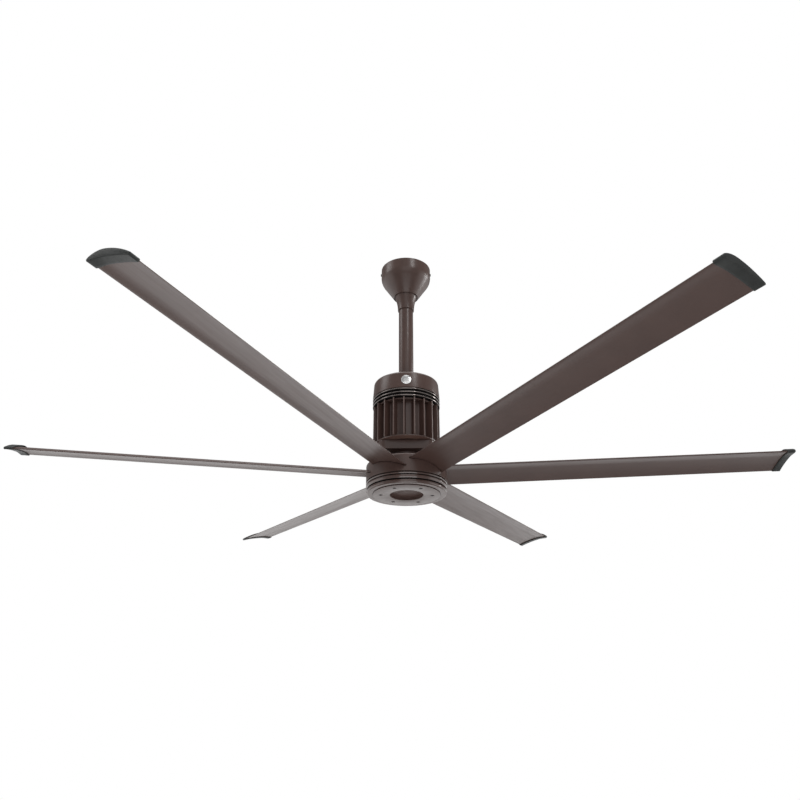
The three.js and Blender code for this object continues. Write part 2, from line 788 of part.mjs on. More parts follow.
function statorCore() {
  const { inner, outer, innerHalf, outerHalf } = slotPlan(0);
  const mouth = slotMouth / 2;
  const slot = prism(
    outlineOf(
      [statorBore - overshoot, -mouth],
      [inner, -mouth],
      [inner, -innerHalf],
      [outer, -outerHalf],
      [outer, outerHalf],
      [inner, innerHalf],
      [inner, mouth],
      [statorBore - overshoot, mouth],
    ),
    statorBottom - overshoot,
    statorTop + overshoot,
  );
  const slots = [];
  for (let i = 0; i < slotCount; i += 1) {
    slots.push(around(slot, (2 * Math.PI * i) / slotCount));
  }
  return cut(ring(statorBore, statorRadius, statorBottom, statorTop), ...slots);
}
place(hanging, "stator_core", statorCore(), laminations);

function statorWinding() {
  const { inner, outer, innerHalf, outerHalf } = slotPlan(slotLining);
  const upper = statorTop + slotLining;
  const lower = statorBottom - slotLining;
  const bar = prism(
    outlineOf([inner, -innerHalf], [outer, -outerHalf], [outer, outerHalf], [inner, innerHalf]),
    lower - windingHeight / 2,
    upper + windingHeight / 2,
  );
  const pieces = [
    ring(windingInner, windingOuter, upper, upper + windingHeight, mediumSides),
    ring(windingInner, windingOuter, lower - windingHeight, lower, mediumSides),
  ];
  for (let i = 0; i < slotCount; i += 1) {
    pieces.push(around(bar, (2 * Math.PI * i) / slotCount));
  }
  return join(...pieces);
}
place(hanging, "stator_winding", statorWinding(), copperWire);

// Motor rotor: laminated core and magnet ring on a stepped shaft
const magnetOuter = statorBore - airGap;
const magnetInner = magnetOuter - magnetThickness;
const carrierTop = hubTop - hubWall - seatGap;
const carrierBottom = carrierTop - carrierBossHeight - carrierHeight;
const nutTop = carrierBottom - seatGap;
const nutBottom = nutTop - nutHeight;

place(
  rotor,
  "rotor_core",
  ring(shaftRadius + seatGap, magnetInner - seatGap, statorBottom, statorTop, mediumSides),
  laminations,
);

function magnetRing() {
  const groove = block(
    [magnetOuter - magnetGroove, magnetOuter + magnetGroove],
    [-magnetGroove, magnetGroove],
    [statorBottom - overshoot, statorTop + overshoot],
  );
  const grooves = [];
  for (let i = 0; i < magnetCount; i += 1) {
    grooves.push(around(groove, (2 * Math.PI * i) / magnetCount));
  }
  return cut(ring(magnetInner, magnetOuter, statorBottom, statorTop, mediumSides), ...grooves);
}
place(rotor, "magnet_ring", magnetRing(), magnetSteel);

function motorShaft() {
  const upperSeat = upperBearingBottom - seatGap;
  const lowerSeat = lowerBearingBottom + lowerBearing.width + seatGap;
  const outline = outlineOf(
    [0, nutBottom - shaftStickOut],
    [shaftEnd - shaftChamfer, nutBottom - shaftStickOut],
    [shaftEnd, nutBottom - shaftStickOut + shaftChamfer],
    [shaftEnd, nutTop + seatGap],
    [lowerBearing.bore - seatGap, nutTop + seatGap],
    [lowerBearing.bore - seatGap, lowerSeat],
    [shaftRadius, lowerSeat],
    [shaftRadius, upperSeat],
    [upperBearing.bore - seatGap, upperSeat],
    [upperBearing.bore - seatGap, upperPocketTop - shaftChamfer],
    [0, upperPocketTop - shaftChamfer],
  );
  return revolve(outline, mediumSides);
}
place(rotor, "motor_shaft", motorShaft(), zincSteel);

function shaftNut() {
  const across = nutAcross / 2 / Math.cos(Math.PI / nutFlats);
  return cut(
    uprightCylinder(across, nutBottom, nutTop, nutFlats),
    uprightBore(shaftEnd + seatGap, nutBottom - overshoot, nutTop + overshoot),
  );
}
place(rotor, "shaft_nut", shaftNut(), zincSteel);

// Blade frame: X runs out along the blade, +Y is the trailing side and Z is its upper face.
// It is pitched about X, raised by the blades' rise and turned to each blade's place.
const rise = rad(bladeRise);
const pitch = rad(bladePitch);
function bladeMatrix(index) {
  const turned = new THREE.Matrix4().makeRotationZ(rad(rotorTurn) + (2 * Math.PI * index) / bladeCount);
  const lifted = new THREE.Matrix4().makeTranslation(0, 0, hubTop - bladeDrop);
  const raised = new THREE.Matrix4().makeRotationY(-rise);
  const pitched = new THREE.Matrix4().makeRotationX(-pitch);
  return turned.multiply(lifted).multiply(raised).multiply(pitched);
}

// Blade section: a cambered aerofoil whose chord runs from the leading to the trailing edge.
// The factors are those of the usual four-digit thickness curve, from the root term up, and the
// middle line is two parabolas that meet where the camber is highest.
const thicknessFactors = [0.2969, -0.126, -0.3516, 0.2843, -0.1036];
const chord = leadingReach + trailingReach;
function sectionAt(fraction) {
  const terms = thicknessFactors.map((factor, i) => factor * fraction ** (i === 0 ? 1 / 2 : i));
  const thickness = thicknessScale * bladeThickness * chord * terms.reduce((sum, term) => sum + term);
  const half = thickness + (fraction * trailingEdge) / 2;
  const run = fraction < camberPlace ? camberPlace : 1 - camberPlace;
  const middle = bladeCamber * chord * (1 - ((fraction - camberPlace) / run) ** 2);
  return { across: fraction * chord - leadingReach, upper: middle + half, lower: middle - half };
}

function sectionOutline() {
  const points = [];
  for (let i = -sectionPoints; i <= sectionPoints; i += 1) {
    const { across, upper, lower } = sectionAt((1 - Math.cos((Math.PI * i) / sectionPoints)) / 2);
    points.push(new THREE.Vector2(across, i < 0 ? upper : lower));
  }
  return points;
}

// The section grown by one amount across the chord and another through its thickness
function grownOutline(across, through) {
  const points = sectionOutline();
  return points.map((point, i) => {
    const before = points[(i + points.length - 1) % points.length];
    const after = points[(i + 1) % points.length];
    const along = after.clone().sub(before).normalize();
    return new THREE.Vector2(point.x + along.y * across, point.y - along.x * through);
  });
}

// A prism along the blade frame's X axis from an outline of across and up
function bladePrism(shape, from, to) {
  return prism(shape, from, to).rotateX(Math.PI / 2).rotateZ(Math.PI / 2);
}

// One hollow cell between two webs, whose walls stand in from the section
function cellOutline(start, end, inset) {
  const upper = [];
  const lower = [];
  for (let i = 0; i <= cellSteps; i += 1) {
    const spot = sectionAt((start + inset + ((end - start - 2 * inset) * i) / cellSteps) / chord);
    upper.push(new THREE.Vector2(spot.across, spot.upper - bladeWall - inset));
    lower.push(new THREE.Vector2(spot.across, spot.lower + bladeWall + inset));
  }
  return new THREE.Shape([...lower, ...upper.reverse()]);
}

function bladeCells() {
  return cellEdges.slice(0, -1).map((edge, i) => {
    const start = i === 0 ? edge : edge + bladeWeb / 2;
    const end = i === cellEdges.length - 2 ? cellEdges[i + 1] : cellEdges[i + 1] - bladeWeb / 2;
    return { start, end };
  });
}

const tipReach = tipRadius / Math.cos(rise);
const capStart = tipReach - capLength;
const bladeEnd = capStart + capSocket;

function blade() {
  const section = new THREE.Shape(sectionOutline());
  for (const { start, end } of bladeCells()) section.holes.push(cellOutline(start, end, 0));
  return bladePrism(section, bladeRoot, bladeEnd);
}

// Tip cap: a moulded end that takes in the blade's last stretch and overhangs it all round
function tipCap() {
  const body = bladePrism(new THREE.Shape(grownOutline(capOverhang, capProud)), capStart, tipReach);
  const socket = bladePrism(
    new THREE.Shape(grownOutline(seatGap, seatGap)),
    capStart - overshoot,
    bladeEnd + seatGap,
  );
  return cut(body, socket);
}

// Blade arm: a bar that fills the blade's middle cell, with a foot on the carrier's flat
const footFlat = carrierFlat + seatGap;
function carrierPrism(flat, bottom, top) {
  const corner = flat / Math.cos(Math.PI / bladeCount);
  const body = uprightCylinder(corner, bottom, top, bladeCount);
  return body.rotateZ(rad(rotorTurn) + Math.PI / 2 + Math.PI / bladeCount);
}

function bladeArm() {
  const { start, end } = bladeCells()[1];
  const bar = bladePrism(cellOutline(start, end, slideGap), carrierFlat / 2, armReach);
  const middle = sectionAt((start + end) / 2 / chord);
  const centre = (middle.upper + middle.lower) / 2;
  const foot = block(
    [carrierFlat / 2, footFlat + armFootDepth],
    [middle.across - armFootWidth / 2, middle.across + armFootWidth / 2],
    [centre - armFootHeight / 2, centre + armFootHeight / 2],
  );
  const carrierSpace = carrierPrism(footFlat, hubBottom - hubHeight, hubTop + hubHeight);
  carrierSpace.applyMatrix4(bladeMatrix(0).invert());
  return cut(join(bar, foot), carrierSpace);
}

const bladeBody = blade();
const capBody = tipCap();
const armBody = bladeArm();
for (let i = 0; i < bladeCount; i += 1) {
  place(rotor, `blade_${i + 1}`, bladeBody, bronzePaint).applyMatrix4(bladeMatrix(i));
  place(rotor, `tip_cap_${i + 1}`, capBody, darkPlastic).applyMatrix4(bladeMatrix(i));
  place(rotor, `blade_arm_${i + 1}`, armBody, castAluminium).applyMatrix4(bladeMatrix(i));
}

// Blade carrier: a six-sided block on the shaft, with a neck up to the bearing's inner ring
function bladeCarrier() {
  const hexTop = carrierTop - carrierBossHeight;
  return cut(
    join(
      carrierPrism(carrierFlat, carrierBottom, hexTop),
      uprightCylinder(carrierBoss, hexTop - overshoot, carrierTop, roundSides / 2),
      uprightCylinder(carrierNeck, hexTop - overshoot, lowerBearingBottom - seatGap),
    ),
    uprightBore(lowerBearing.bore, carrierBottom - overshoot, hubTop + hubHeight),
  );
}
place(rotor, "blade_carrier", bladeCarrier(), castAluminium);

// Hub drum: a shell with a raised boss on top and six aerofoil slots in its side
function hubDrum() {
  const inner = hubRadius - hubWall;
  const bossTop = hubBossTop;
  const hole = carrierNeck + seatGap;
  const outline = new THREE.Shape();
  outline.moveTo(hubRadius, hubBottom);
  outline.absarc(hubRadius - hubEdge, hubTop - hubEdge, hubEdge, 0, Math.PI / 2, false);
  outline.lineTo(hubBoss, hubTop);
  outline.lineTo(hubBoss, bossTop);
  outline.lineTo(hole, bossTop);
  outline.lineTo(hole, hubTop - hubWall);
  outline.lineTo(carrierBoss + hubWall, hubTop - hubWall);
  outline.lineTo(carrierBoss + hubWall, bossTop - hubWall);
  outline.lineTo(hubBoss - hubWall, bossTop - hubWall);
  outline.lineTo(hubBoss - hubWall, hubTop - hubWall);
  outline.lineTo(inner, hubTop - hubWall);
  outline.lineTo(inner, hubBottom);
  const opening = bladePrism(
    new THREE.Shape(grownOutline(slideGap, slideGap)),
    bladeRoot - 2 * hubWall,
    hubRadius + 2 * hubWall,
  );
  const slots = [];
  for (let i = 0; i < bladeCount; i += 1) {
    slots.push(opening.clone().applyMatrix4(bladeMatrix(i)));
  }
  return cut(revolve(outline), ...slots);
}
place(rotor, "hub_drum", hubDrum(), bronzePaint);

// Lower ring: grooved outside, sloped below, with an inner flange for the plate's screws
const plateTop = fanBottom + plateThickness;
function lowerRing() {
  const flangeBottom = plateTop + seatGap;
  const flangeTop = flangeBottom + plateFlangeHeight;
  const outer = hubRadius;
  const slopeTop = fanBottom + ringFaceSlope;
  const outline = new THREE.Shape();
  outline.moveTo(plateFlangeBore, flangeBottom);
  outline.lineTo(ringFaceInner, flangeBottom);
  outline.lineTo(ringFaceInner, fanBottom);
  outline.lineTo(ringFaceOuter - ringFaceCorner, slopeTop);
  outline.absarc(
    ringFaceOuter - ringFaceCorner, slopeTop + ringFaceCorner, ringFaceCorner, -Math.PI / 2, 0, false,
  );
  for (const groove of lowerGrooves.toReversed()) {
    const middle = lowerRingTop - groove.drop;
    const half = groove.height / 2;
    const below = groove === lowerGrooves.at(-1) ? ringFaceOuter : outer;
    outline.lineTo(below, middle - half);
    outline.lineTo(outer - lowerGrooveDepth, middle - half);
    outline.lineTo(outer - lowerGrooveDepth, middle + half);
    outline.lineTo(outer, middle + half);
  }
  outline.lineTo(outer, lowerRingTop);
  outline.lineTo(outer - lowerRingWall, lowerRingTop);
  outline.lineTo(outer - lowerRingWall, flangeTop);
  outline.lineTo(plateFlangeBore, flangeTop);
  const holes = screwPlaces(plateScrewRadius + seatGap, flangeBottom - overshoot, flangeTop + overshoot);
  return cut(revolve(outline), ...holes);
}

function screwPlaces(radius, bottom, top) {
  const places = [];
  for (let i = 0; i < plateScrewCount; i += 1) {
    const one = uprightCylinder(radius, bottom, top).translate(plateScrewCircle, 0, 0);
    places.push(around(one, rad(rotorTurn) + (2 * Math.PI * i) / plateScrewCount));
  }
  return places;
}
place(rotor, "lower_ring", lowerRing(), bronzePaint);

// Bottom plate: a flat ring with countersunk screws and a round opening
const headDepth = plateThickness / 2 + seatGap;
function bottomPlate() {
  return cut(
    ring(plateOpening, ringFaceInner - seatGap, fanBottom, plateTop),
    ...screwPlaces(plateScrewRadius + seatGap, fanBottom - overshoot, plateTop + overshoot),
    ...screwPlaces(plateScrewHead + seatGap, fanBottom - overshoot, fanBottom + headDepth + seatGap),
  );
}
place(rotor, "bottom_plate", bottomPlate(), bronzePaint);

function plateScrews() {
  const heads = screwPlaces(plateScrewHead, fanBottom + seatGap, fanBottom + headDepth);
  const shanks = screwPlaces(plateScrewRadius, fanBottom + seatGap, fanBottom + plateScrewLength);
  return heads.map((head, i) => join(head, shanks[i]));
}
plateScrews().forEach((screw, i) => place(rotor, `plate_screw_${i + 1}`, screw, darkPlated));

// Centre cap: a shallow hat that stands on the plate and closes its opening from above
function centreCap() {
  const brim = plateTop + seatGap;
  const inner = plateOpening + seatGap;
  const outer = inner + capThickness;
  const ceiling = fanBottom + capRecess;
  return revolve(
    outlineOf(
      [0, ceiling],
      [inner, ceiling],
      [inner, brim],
      [outer + capLip, brim],
      [outer + capLip, brim + capThickness / 2],
      [outer, brim + capThickness / 2],
      [outer, ceiling + capThickness],
      [0, ceiling + capThickness],
    ),
    mediumSides,
  );
}
place(rotor, "centre_cap", centreCap(), bronzePaint);

export default fan;
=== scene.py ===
"""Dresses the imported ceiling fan: finer visible pieces, procedural finishes, camera and light."""

import logging
from collections.abc import Callable, Sequence
from dataclasses import dataclass
from enum import Enum
from math import asin, atan2, cos, hypot, pi, radians, sin, sqrt, tan

import bmesh
import bpy
from mathutils import Matrix, Vector


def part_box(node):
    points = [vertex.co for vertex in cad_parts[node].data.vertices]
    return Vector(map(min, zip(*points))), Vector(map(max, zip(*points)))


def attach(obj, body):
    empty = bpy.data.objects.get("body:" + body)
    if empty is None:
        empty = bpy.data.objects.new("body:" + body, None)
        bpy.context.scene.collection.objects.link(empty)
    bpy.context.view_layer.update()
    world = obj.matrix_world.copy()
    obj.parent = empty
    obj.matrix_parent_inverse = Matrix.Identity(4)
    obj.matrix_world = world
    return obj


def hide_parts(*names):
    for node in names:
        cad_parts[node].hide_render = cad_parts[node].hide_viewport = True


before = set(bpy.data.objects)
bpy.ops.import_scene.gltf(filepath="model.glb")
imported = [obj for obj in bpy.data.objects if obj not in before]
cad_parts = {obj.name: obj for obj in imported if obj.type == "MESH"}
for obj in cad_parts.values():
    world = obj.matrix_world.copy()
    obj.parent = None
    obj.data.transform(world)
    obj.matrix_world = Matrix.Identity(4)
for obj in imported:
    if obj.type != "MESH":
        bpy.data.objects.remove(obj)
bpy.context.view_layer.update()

log = logging.getLogger("fan")

MM = 0.001
ROUND_SEGMENTS = 160
SHARP_ANGLE = radians(32)
# Half angle from which a corner counts as straight, and the share of an edge that one fillet may take
STRAIGHT = radians(89)
EDGE_SHARE = 0.49
# Shortest length that counts, and the distance in metres within which points are joined
SHORTEST = 1e-6
SAME_PLACE = 1e-7
# How far cutting tools stand past a surface, in millimetres
OVERRUN = 1.0
# How far from an edge faces are picked for a second finish or solids overlap, and how picked faces lean
NEAR = 0.5
CLOSE = 0.2
UPRIGHT = 0.1
DOWNWARD = -0.9

Piece = bpy.types.Object
Material = bpy.types.Material
Socket = bpy.types.NodeSocket
Point2 = tuple[float, float]
Corner = tuple[float, float, float]
Colour = tuple[float, float, float]


class Body(Enum):
    """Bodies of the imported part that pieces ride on."""

    MOUNT = "ceiling_mount"
    HANGER = "motor_hanger"
    ROTOR = "rotor"


class Slot(Enum):
    """Material slots of the record."""

    PAINT = "bronze_paint"
    BLADE = "blade_paint"
    RIDGE = "polished_edge"
    BADGE = "badge_silver"
    PLASTIC = "dark_plastic"
    ZINC = "zinc_steel"
    SCREW = "dark_screw"
    BEARING = "bearing_steel"
    LAMINATION = "laminations"
    COPPER = "copper_wire"
    BOARD = "circuit_board"
    MAGNET = "magnet_steel"
    CASTING = "cast_aluminium"


# Shader nodes

class Shader:
    """A material under construction, with short calls for the nodes that the finishes share."""

    COAT_ROUGHNESS = 0.12
    # Range that most of a noise factor lies in
    NOISE_SPAN = (0.3, 0.7)

    def __init__(self, name: str, roughness: float, metallic: float = 0.0, coat: float = 0.0) -> None:
        """Starts a material with its surface shader.

        Args:
            name: The material's name.
            roughness: The surface's own roughness.
            metallic: Share of metal in the surface.
            coat: Weight of the clear coat.
        """
        self.material = bpy.data.materials.new(name)
        self.material.use_nodes = True
        self.tree = self.material.node_tree
        self.surface = self.tree.nodes["Principled BSDF"]
        self.surface.inputs["Roughness"].default_value = roughness
        self.surface.inputs["Metallic"].default_value = metallic
        self.surface.inputs["Coat Weight"].default_value = coat
        self.surface.inputs["Coat Roughness"].default_value = self.COAT_ROUGHNESS
        self.place = self.node("ShaderNodeTexCoord").outputs["Object"]

    def node(self, kind: str, **settings: object) -> bpy.types.Node:
        """Adds a node and sets its properties.

        Args:
            kind: The node's type.
            settings: Properties by name.

        Returns:
            The node.
        """
        made = self.tree.nodes.new(kind)
        for key, value in settings.items():
            setattr(made, key, value)
        return made

    def link(self, source: Socket, target: Socket) -> None:
        """Joins an output to an input."""
        self.tree.links.new(source, target)

    def stretched(self, scale: Sequence[float]) -> Socket:
        """Gives the object's coordinates scaled along each axis.

        Args:
            scale: Factors along X, Y and Z.

        Returns:
            The coordinates' socket.
        """
        mapping = self.node("ShaderNodeMapping")
        mapping.inputs["Scale"].default_value = scale
        self.link(self.place, mapping.inputs["Vector"])
        return mapping.outputs["Vector"]

    def noise(self, size_mm: float, detail: float = 2.0, vector: Socket | None = None) -> Socket:
        """Gives noise whose grains measure about the given size.

        Args:
            size_mm: Size of one grain in millimetres.
            detail: Number of finer octaves.
            vector: Coordinates to use in place of the object's own.

        Returns:
            The noise factor's socket.
        """
        made = self.node("ShaderNodeTexNoise")
        made.inputs["Scale"].default_value = 1 / (size_mm * MM)
        made.inputs["Detail"].default_value = detail
        self.link(vector or self.place, made.inputs["Vector"])
        return made.outputs["Fac"]

    def between(self, factor: Socket, low: Sequence[float],
                high: Sequence[float], span: Point2 = NOISE_SPAN) -> Socket:
        """Blends two colours by a factor, between two stops.

        Args:
            factor: Socket with the factor.
            low: Colour at the first stop.
            high: Colour at the second stop.
            span: Places of the two stops.

        Returns:
            The colour's socket.
        """
        ramp = self.node("ShaderNodeValToRGB")
        for stop, place, colour in zip(ramp.color_ramp.elements, span, (low, high)):
            stop.position = place
            stop.color = (*colour, 1)
        self.link(factor, ramp.inputs["Fac"])
        return ramp.outputs["Color"]

    def ranged(self, factor: Socket, low: float, high: float) -> Socket:
        """Maps a noise factor onto a range.

        Args:
            factor: Socket with the factor.
            low: The range's lower end.
            high: The range's upper end.

        Returns:
            The value's socket.
        """
        mapped = self.node("ShaderNodeMapRange")
        for socket, value in zip(("From Min", "From Max", "To Min", "To Max"), (*self.NOISE_SPAN, low, high)):
            mapped.inputs[socket].default_value = value
        self.link(factor, mapped.inputs["Value"])
        return mapped.outputs["Result"]

    def tint(self, factor: Socket, low: Sequence[float], high: Sequence[float],
             span: Point2 = NOISE_SPAN) -> None:
        """Colours the surface between two colours by a factor."""
        self.link(self.between(factor, low, high, span), self.surface.inputs["Base Color"])

    def polish(self, factor: Socket, roughness: Point2) -> None:
        """Varies the surface's roughness by a factor."""
        self.link(self.ranged(factor, *roughness), self.surface.inputs["Roughness"])

    def radius(self) -> Socket:
        """Gives the distance from the fan's axis, in metres.

        Returns:
            The distance's socket.
        """
        flat = self.stretched((1, 1, 0))
        length = self.node("ShaderNodeVectorMath", operation="LENGTH")
        self.link(flat, length.inputs[0])
        return length.outputs["Value"]

    def bump(self, height: Socket, depth_mm: float, strength: float) -> None:
        """Raises the surface.

        Args:
            height: Socket with the height, from 0 to 1.
            depth_mm: Height of the relief in millimetres.
            strength: Share of the relief that shows.
        """
        made = self.node("ShaderNodeBump")
        made.inputs["Strength"].default_value = strength
        made.inputs["Distance"].default_value = depth_mm * MM
        self.link(height, made.inputs["Height"])
        self.link(made.outputs["Normal"], self.surface.inputs["Normal"])


def lighter(colour: Colour, lift: float) -> Colour:
    """Gives a colour with each channel multiplied."""
    red, green, blue = colour
    return red * lift, green * lift, blue * lift


@dataclass(frozen=True)
class PowderPaint:
    """Satin powder paint: faint mottling, uneven gloss and a fine orange peel."""

    name: str
    slot: Slot
    colour: Colour
    roughness: Point2 = (0.36, 0.44)
    gloss: float = 0.5
    lift: float = 1.16
    mottle_mm: float = 38
    mottle_detail: float = 2.0
    patch_mm: float = 9
    grain_mm: float = 1.4
    depth_mm: float = 0.05
    relief: float = 0.35

    def material(self) -> Material:
        """Builds the coat.

        Returns:
            The material.
        """
        shader = Shader(self.name, sum(self.roughness) / 2)
        shader.surface.inputs["Specular IOR Level"].default_value = self.gloss
        mottle = shader.noise(self.mottle_mm, self.mottle_detail)
        shader.tint(mottle, self.colour, lighter(self.colour, self.lift))
        shader.polish(shader.noise(self.patch_mm), self.roughness)
        shader.bump(shader.noise(self.grain_mm, detail=1.0), self.depth_mm, self.relief)
        return shader.material


@dataclass(frozen=True)
class MouldedPlastic(PowderPaint):
    """Moulded plastic with a fine spark grain and slight flow marks."""

    roughness: Point2 = (0.38, 0.5)
    lift: float = 1.25
    mottle_mm: float = 24
    mottle_detail: float = 3.0
    patch_mm: float = 3
    grain_mm: float = 0.8
    depth_mm: float = 0.06
    relief: float = 0.4


@dataclass(frozen=True)
class DrawnPaint:
    """Paint on an extruded blade, with faint drawing lines along it."""

    name: str
    slot: Slot
    colour: Colour
    along: float
    lift: float = 1.14
    roughness: Point2 = (0.33, 0.41)
    cloud_mm: float = 70
    line_mm: float = 7
    grain_mm: float = 5
    line_stretch: float = 0.012
    depth_mm: float = 0.03
    relief: float = 0.3

    def material(self) -> Material:
        """Builds the paint, its lines turned to the blade's own direction.

        Returns:
            The material.
        """
        shader = Shader(self.name, sum(self.roughness) / 2)
        facing = shader.node("ShaderNodeVectorRotate", rotation_type="Z_AXIS")
        facing.inputs["Angle"].default_value = -self.along
        shader.link(shader.place, facing.inputs["Vector"])
        drawn = shader.node("ShaderNodeMapping")
        drawn.inputs["Scale"].default_value = (self.line_stretch, 1, 1)
        shader.link(facing.outputs["Vector"], drawn.inputs["Vector"])
        lines = drawn.outputs["Vector"]
        shader.tint(shader.noise(self.cloud_mm, detail=3.0), self.colour, lighter(self.colour, self.lift))
        shader.polish(shader.noise(self.line_mm, vector=lines), self.roughness)
        shader.bump(shader.noise(self.grain_mm, vector=lines), self.depth_mm, self.relief)
        return shader.material


@dataclass(frozen=True)
class TurnedEdge:
    """Bare turned metal on the lands, going over to a darker painted shade towards the grooves, told apart by
    their radius.
    """

    name: str
    slot: Slot
    groove: Colour
    land: Colour
    edge_mm: float
    fade_mm: float = 0.5
    roughness: float = 0.16
    metallic: float = 0.55
    coat: float = 0.5
    line_mm: float = 0.9
    grain: Corner = (0.02, 0.02, 1)
    depth_mm: float = 0.02
    relief: float = 0.25

    def material(self) -> Material:
        """Builds the finish: painted shade below the edge radius and metal above it, with fine turning lines.

        Returns:
            The material.
        """
        shader = Shader(self.name, self.roughness, self.metallic, self.coat)
        step = shader.node("ShaderNodeMapRange")
        step.inputs["From Min"].default_value = (self.edge_mm - self.fade_mm) * MM
        step.inputs["From Max"].default_value = (self.edge_mm + self.fade_mm) * MM
        shader.link(shader.radius(), step.inputs["Value"])
        # Faces inside the edge radius take the groove colour, which is painted shade
        shader.tint(step.outputs["Result"], self.groove, self.land, (0.0, 1.0))
        lines = shader.noise(self.line_mm, detail=1.0, vector=shader.stretched(self.grain))
        shader.bump(lines, self.depth_mm, self.relief)
        return shader.material


@dataclass(frozen=True)
class BareMetal:
    """Metal with its own colour, a patchy gloss and a grain of a given kind."""

    name: str
    slot: Slot
    colour: Colour
    roughness: Point2
    patch_mm: float = 14.0
    grain_mm: float = 1.5
    grain: Corner = (1, 1, 1)
    depth_mm: float = 0.03
    metallic: float = 1.0
    dulling: float = 0.82
    relief: float = 0.4

    def material(self) -> Material:
        """Builds the metal.

        Returns:
            The material.
        """
        shader = Shader(self.name, sum(self.roughness) / 2, self.metallic)
        patches = shader.noise(self.patch_mm, detail=3.0)
        shader.tint(patches, lighter(self.colour, self.dulling), self.colour)
        shader.polish(shader.noise(self.patch_mm / 2), self.roughness)
        grain = shader.noise(self.grain_mm, detail=1.0, vector=shader.stretched(self.grain))
        shader.bump(grain, self.depth_mm, self.relief)
        return shader.material


Finish = PowderPaint | DrawnPaint | TurnedEdge | BareMetal
_made: dict[str, Material] = {}


def material_of(finish: Finish) -> Material:
    """Gives a finish's material, built once.

    Args:
        finish: The finish.

    Returns:
        Its material.
    """
    if finish.name not in _made:
        _made[finish.name] = finish.material()
    return _made[finish.name]


BRONZE = (0.07, 0.04, 0.033)
BLADE_BRONZE = (0.072, 0.041, 0.034)
HOUSING_PAINT = PowderPaint("bronze_powder_paint", Slot.PAINT, BRONZE, (0.28, 0.35))
# The first colour is painted shade towards the grooves, the second the lands' metal
RIDGE_FINISH = TurnedEdge("turned_ridges", Slot.RIDGE, (0.09, 0.07, 0.065), (0.17, 0.145, 0.135),
                          edge_mm=94.0, roughness=0.11, metallic=0.9)
LAND_PAINT = PowderPaint("polished_paint", Slot.PAINT, BRONZE, (0.1, 0.14), gloss=0.75)
# Lighter warm brown: painted light and bounce from below on the band's underside
UNDERSIDE_LIGHT_PAINT = PowderPaint("painted_underside_light", Slot.PAINT, (0.19, 0.115, 0.092), (0.5, 0.6))
# Lighter colour: painted highlight on the fins' outer edges
FIN_HIGHLIGHT_PAINT = PowderPaint("painted_fin_highlight", Slot.PAINT, (0.12, 0.08, 0.07), (0.36, 0.44))
RECESS_PAINT = PowderPaint("recess_paint", Slot.PAINT, BRONZE, (0.5, 0.6), gloss=0.3)
# Near-black painted shade for grooves, seams and the gaps round the bottom plate
PAINTED_GROOVE_SHADE = PowderPaint("painted_groove_shade", Slot.PAINT, (0.004, 0.003, 0.003), (0.7, 0.8), gloss=0.1)
CAP_PLASTIC = MouldedPlastic("tip_plastic", Slot.PLASTIC, (0.034, 0.036, 0.035), gloss=0.15)
BALL_PLASTIC = MouldedPlastic("ball_plastic", Slot.PLASTIC, (0.022, 0.022, 0.023))
BADGE_METAL = BareMetal("badge_silver", Slot.BADGE, (0.86, 0.86, 0.86), (0.18, 0.28), 6, 0.6, (1, 0.04, 0.04))
ZINC = BareMetal("zinc_plate", Slot.ZINC, (0.56, 0.57, 0.58), (0.28, 0.42), 9)
SCREW_METAL = BareMetal("dark_screw_plate", Slot.SCREW, (0.022, 0.019, 0.017), (0.35, 0.48), 5, metallic=0.5)
BEARING_METAL = BareMetal("ground_steel", Slot.BEARING, (0.62, 0.62, 0.63), (0.12, 0.2), 12, 0.5, (1, 1, 12))
LAMINATION_METAL = BareMetal("laminations", Slot.LAMINATION, (0.2, 0.2, 0.21), (0.35, 0.5), 8, 0.5,
                             (0.05, 0.05, 1))
COPPER_METAL = BareMetal("enamelled_copper", Slot.COPPER, (0.62, 0.27, 0.13), (0.25, 0.35), 5, 1.0,
                         (0.2, 0.2, 1))
BOARD_PLASTIC = MouldedPlastic("board_laminate", Slot.BOARD, (0.025, 0.13, 0.06), (0.3, 0.45))
MAGNET_METAL = BareMetal("nickel_plate", Slot.MAGNET, (0.38, 0.38, 0.4), (0.2, 0.3), 10)
CASTING_METAL = BareMetal("cast_aluminium", Slot.CASTING, (0.52, 0.52, 0.53), (0.45, 0.6), 16, 1.8,
                          depth_mm=0.12)


# Outlines and meshes

def filleted(corners: Sequence[Corner], steps: int, closed: bool = True) -> list[Point2]:
    """Rounds the corners of an outline.

    Args:
        corners: Corners as x, y and the radius of each one's fillet, in millimetres.
        steps: Number of stretches in each fillet.
        closed: Whether the outline's ends are joined.

    Returns:
        The outline's points, in millimetres.
    """
    points: list[Point2] = []
    count = len(corners)
    for i, (x, y, radius) in enumerate(corners):
        here = Vector((x, y))
        ends = (i in (0, count - 1)) and not closed
        before = Vector(corners[i - 1][:2]) - here
        after = Vector(corners[(i + 1) % count][:2]) - here
        if radius <= 0 or ends or min(before.length, after.length) < SHORTEST:
            points.append((x, y))
            continue
        half = before.angle(after) / 2
        if half > STRAIGHT:
            points.append((x, y))
            continue
        reach = min(radius / tan(half), EDGE_SHARE * before.length, EDGE_SHARE * after.length)
        bend = reach * tan(half)
        centre = here + (before.normalized() + after.normalized()).normalized() * (bend / sin(half))
        start = here + before.normalized() * reach - centre
        turn = start.angle_signed(here + after.normalized() * reach - centre)
        for k in range(steps + 1):
            angle = -turn * k / steps
            c, s = cos(angle), sin(angle)
            points.append((centre.x + start.x * c - start.y * s, centre.y + start.x * s + start.y * c))
    return points


def evenly(low: float, high: float, steps: int) -> list[float]:
    """Gives evenly spaced values from one end to the other."""
    return [low + (high - low) * k / steps for k in range(steps + 1)]


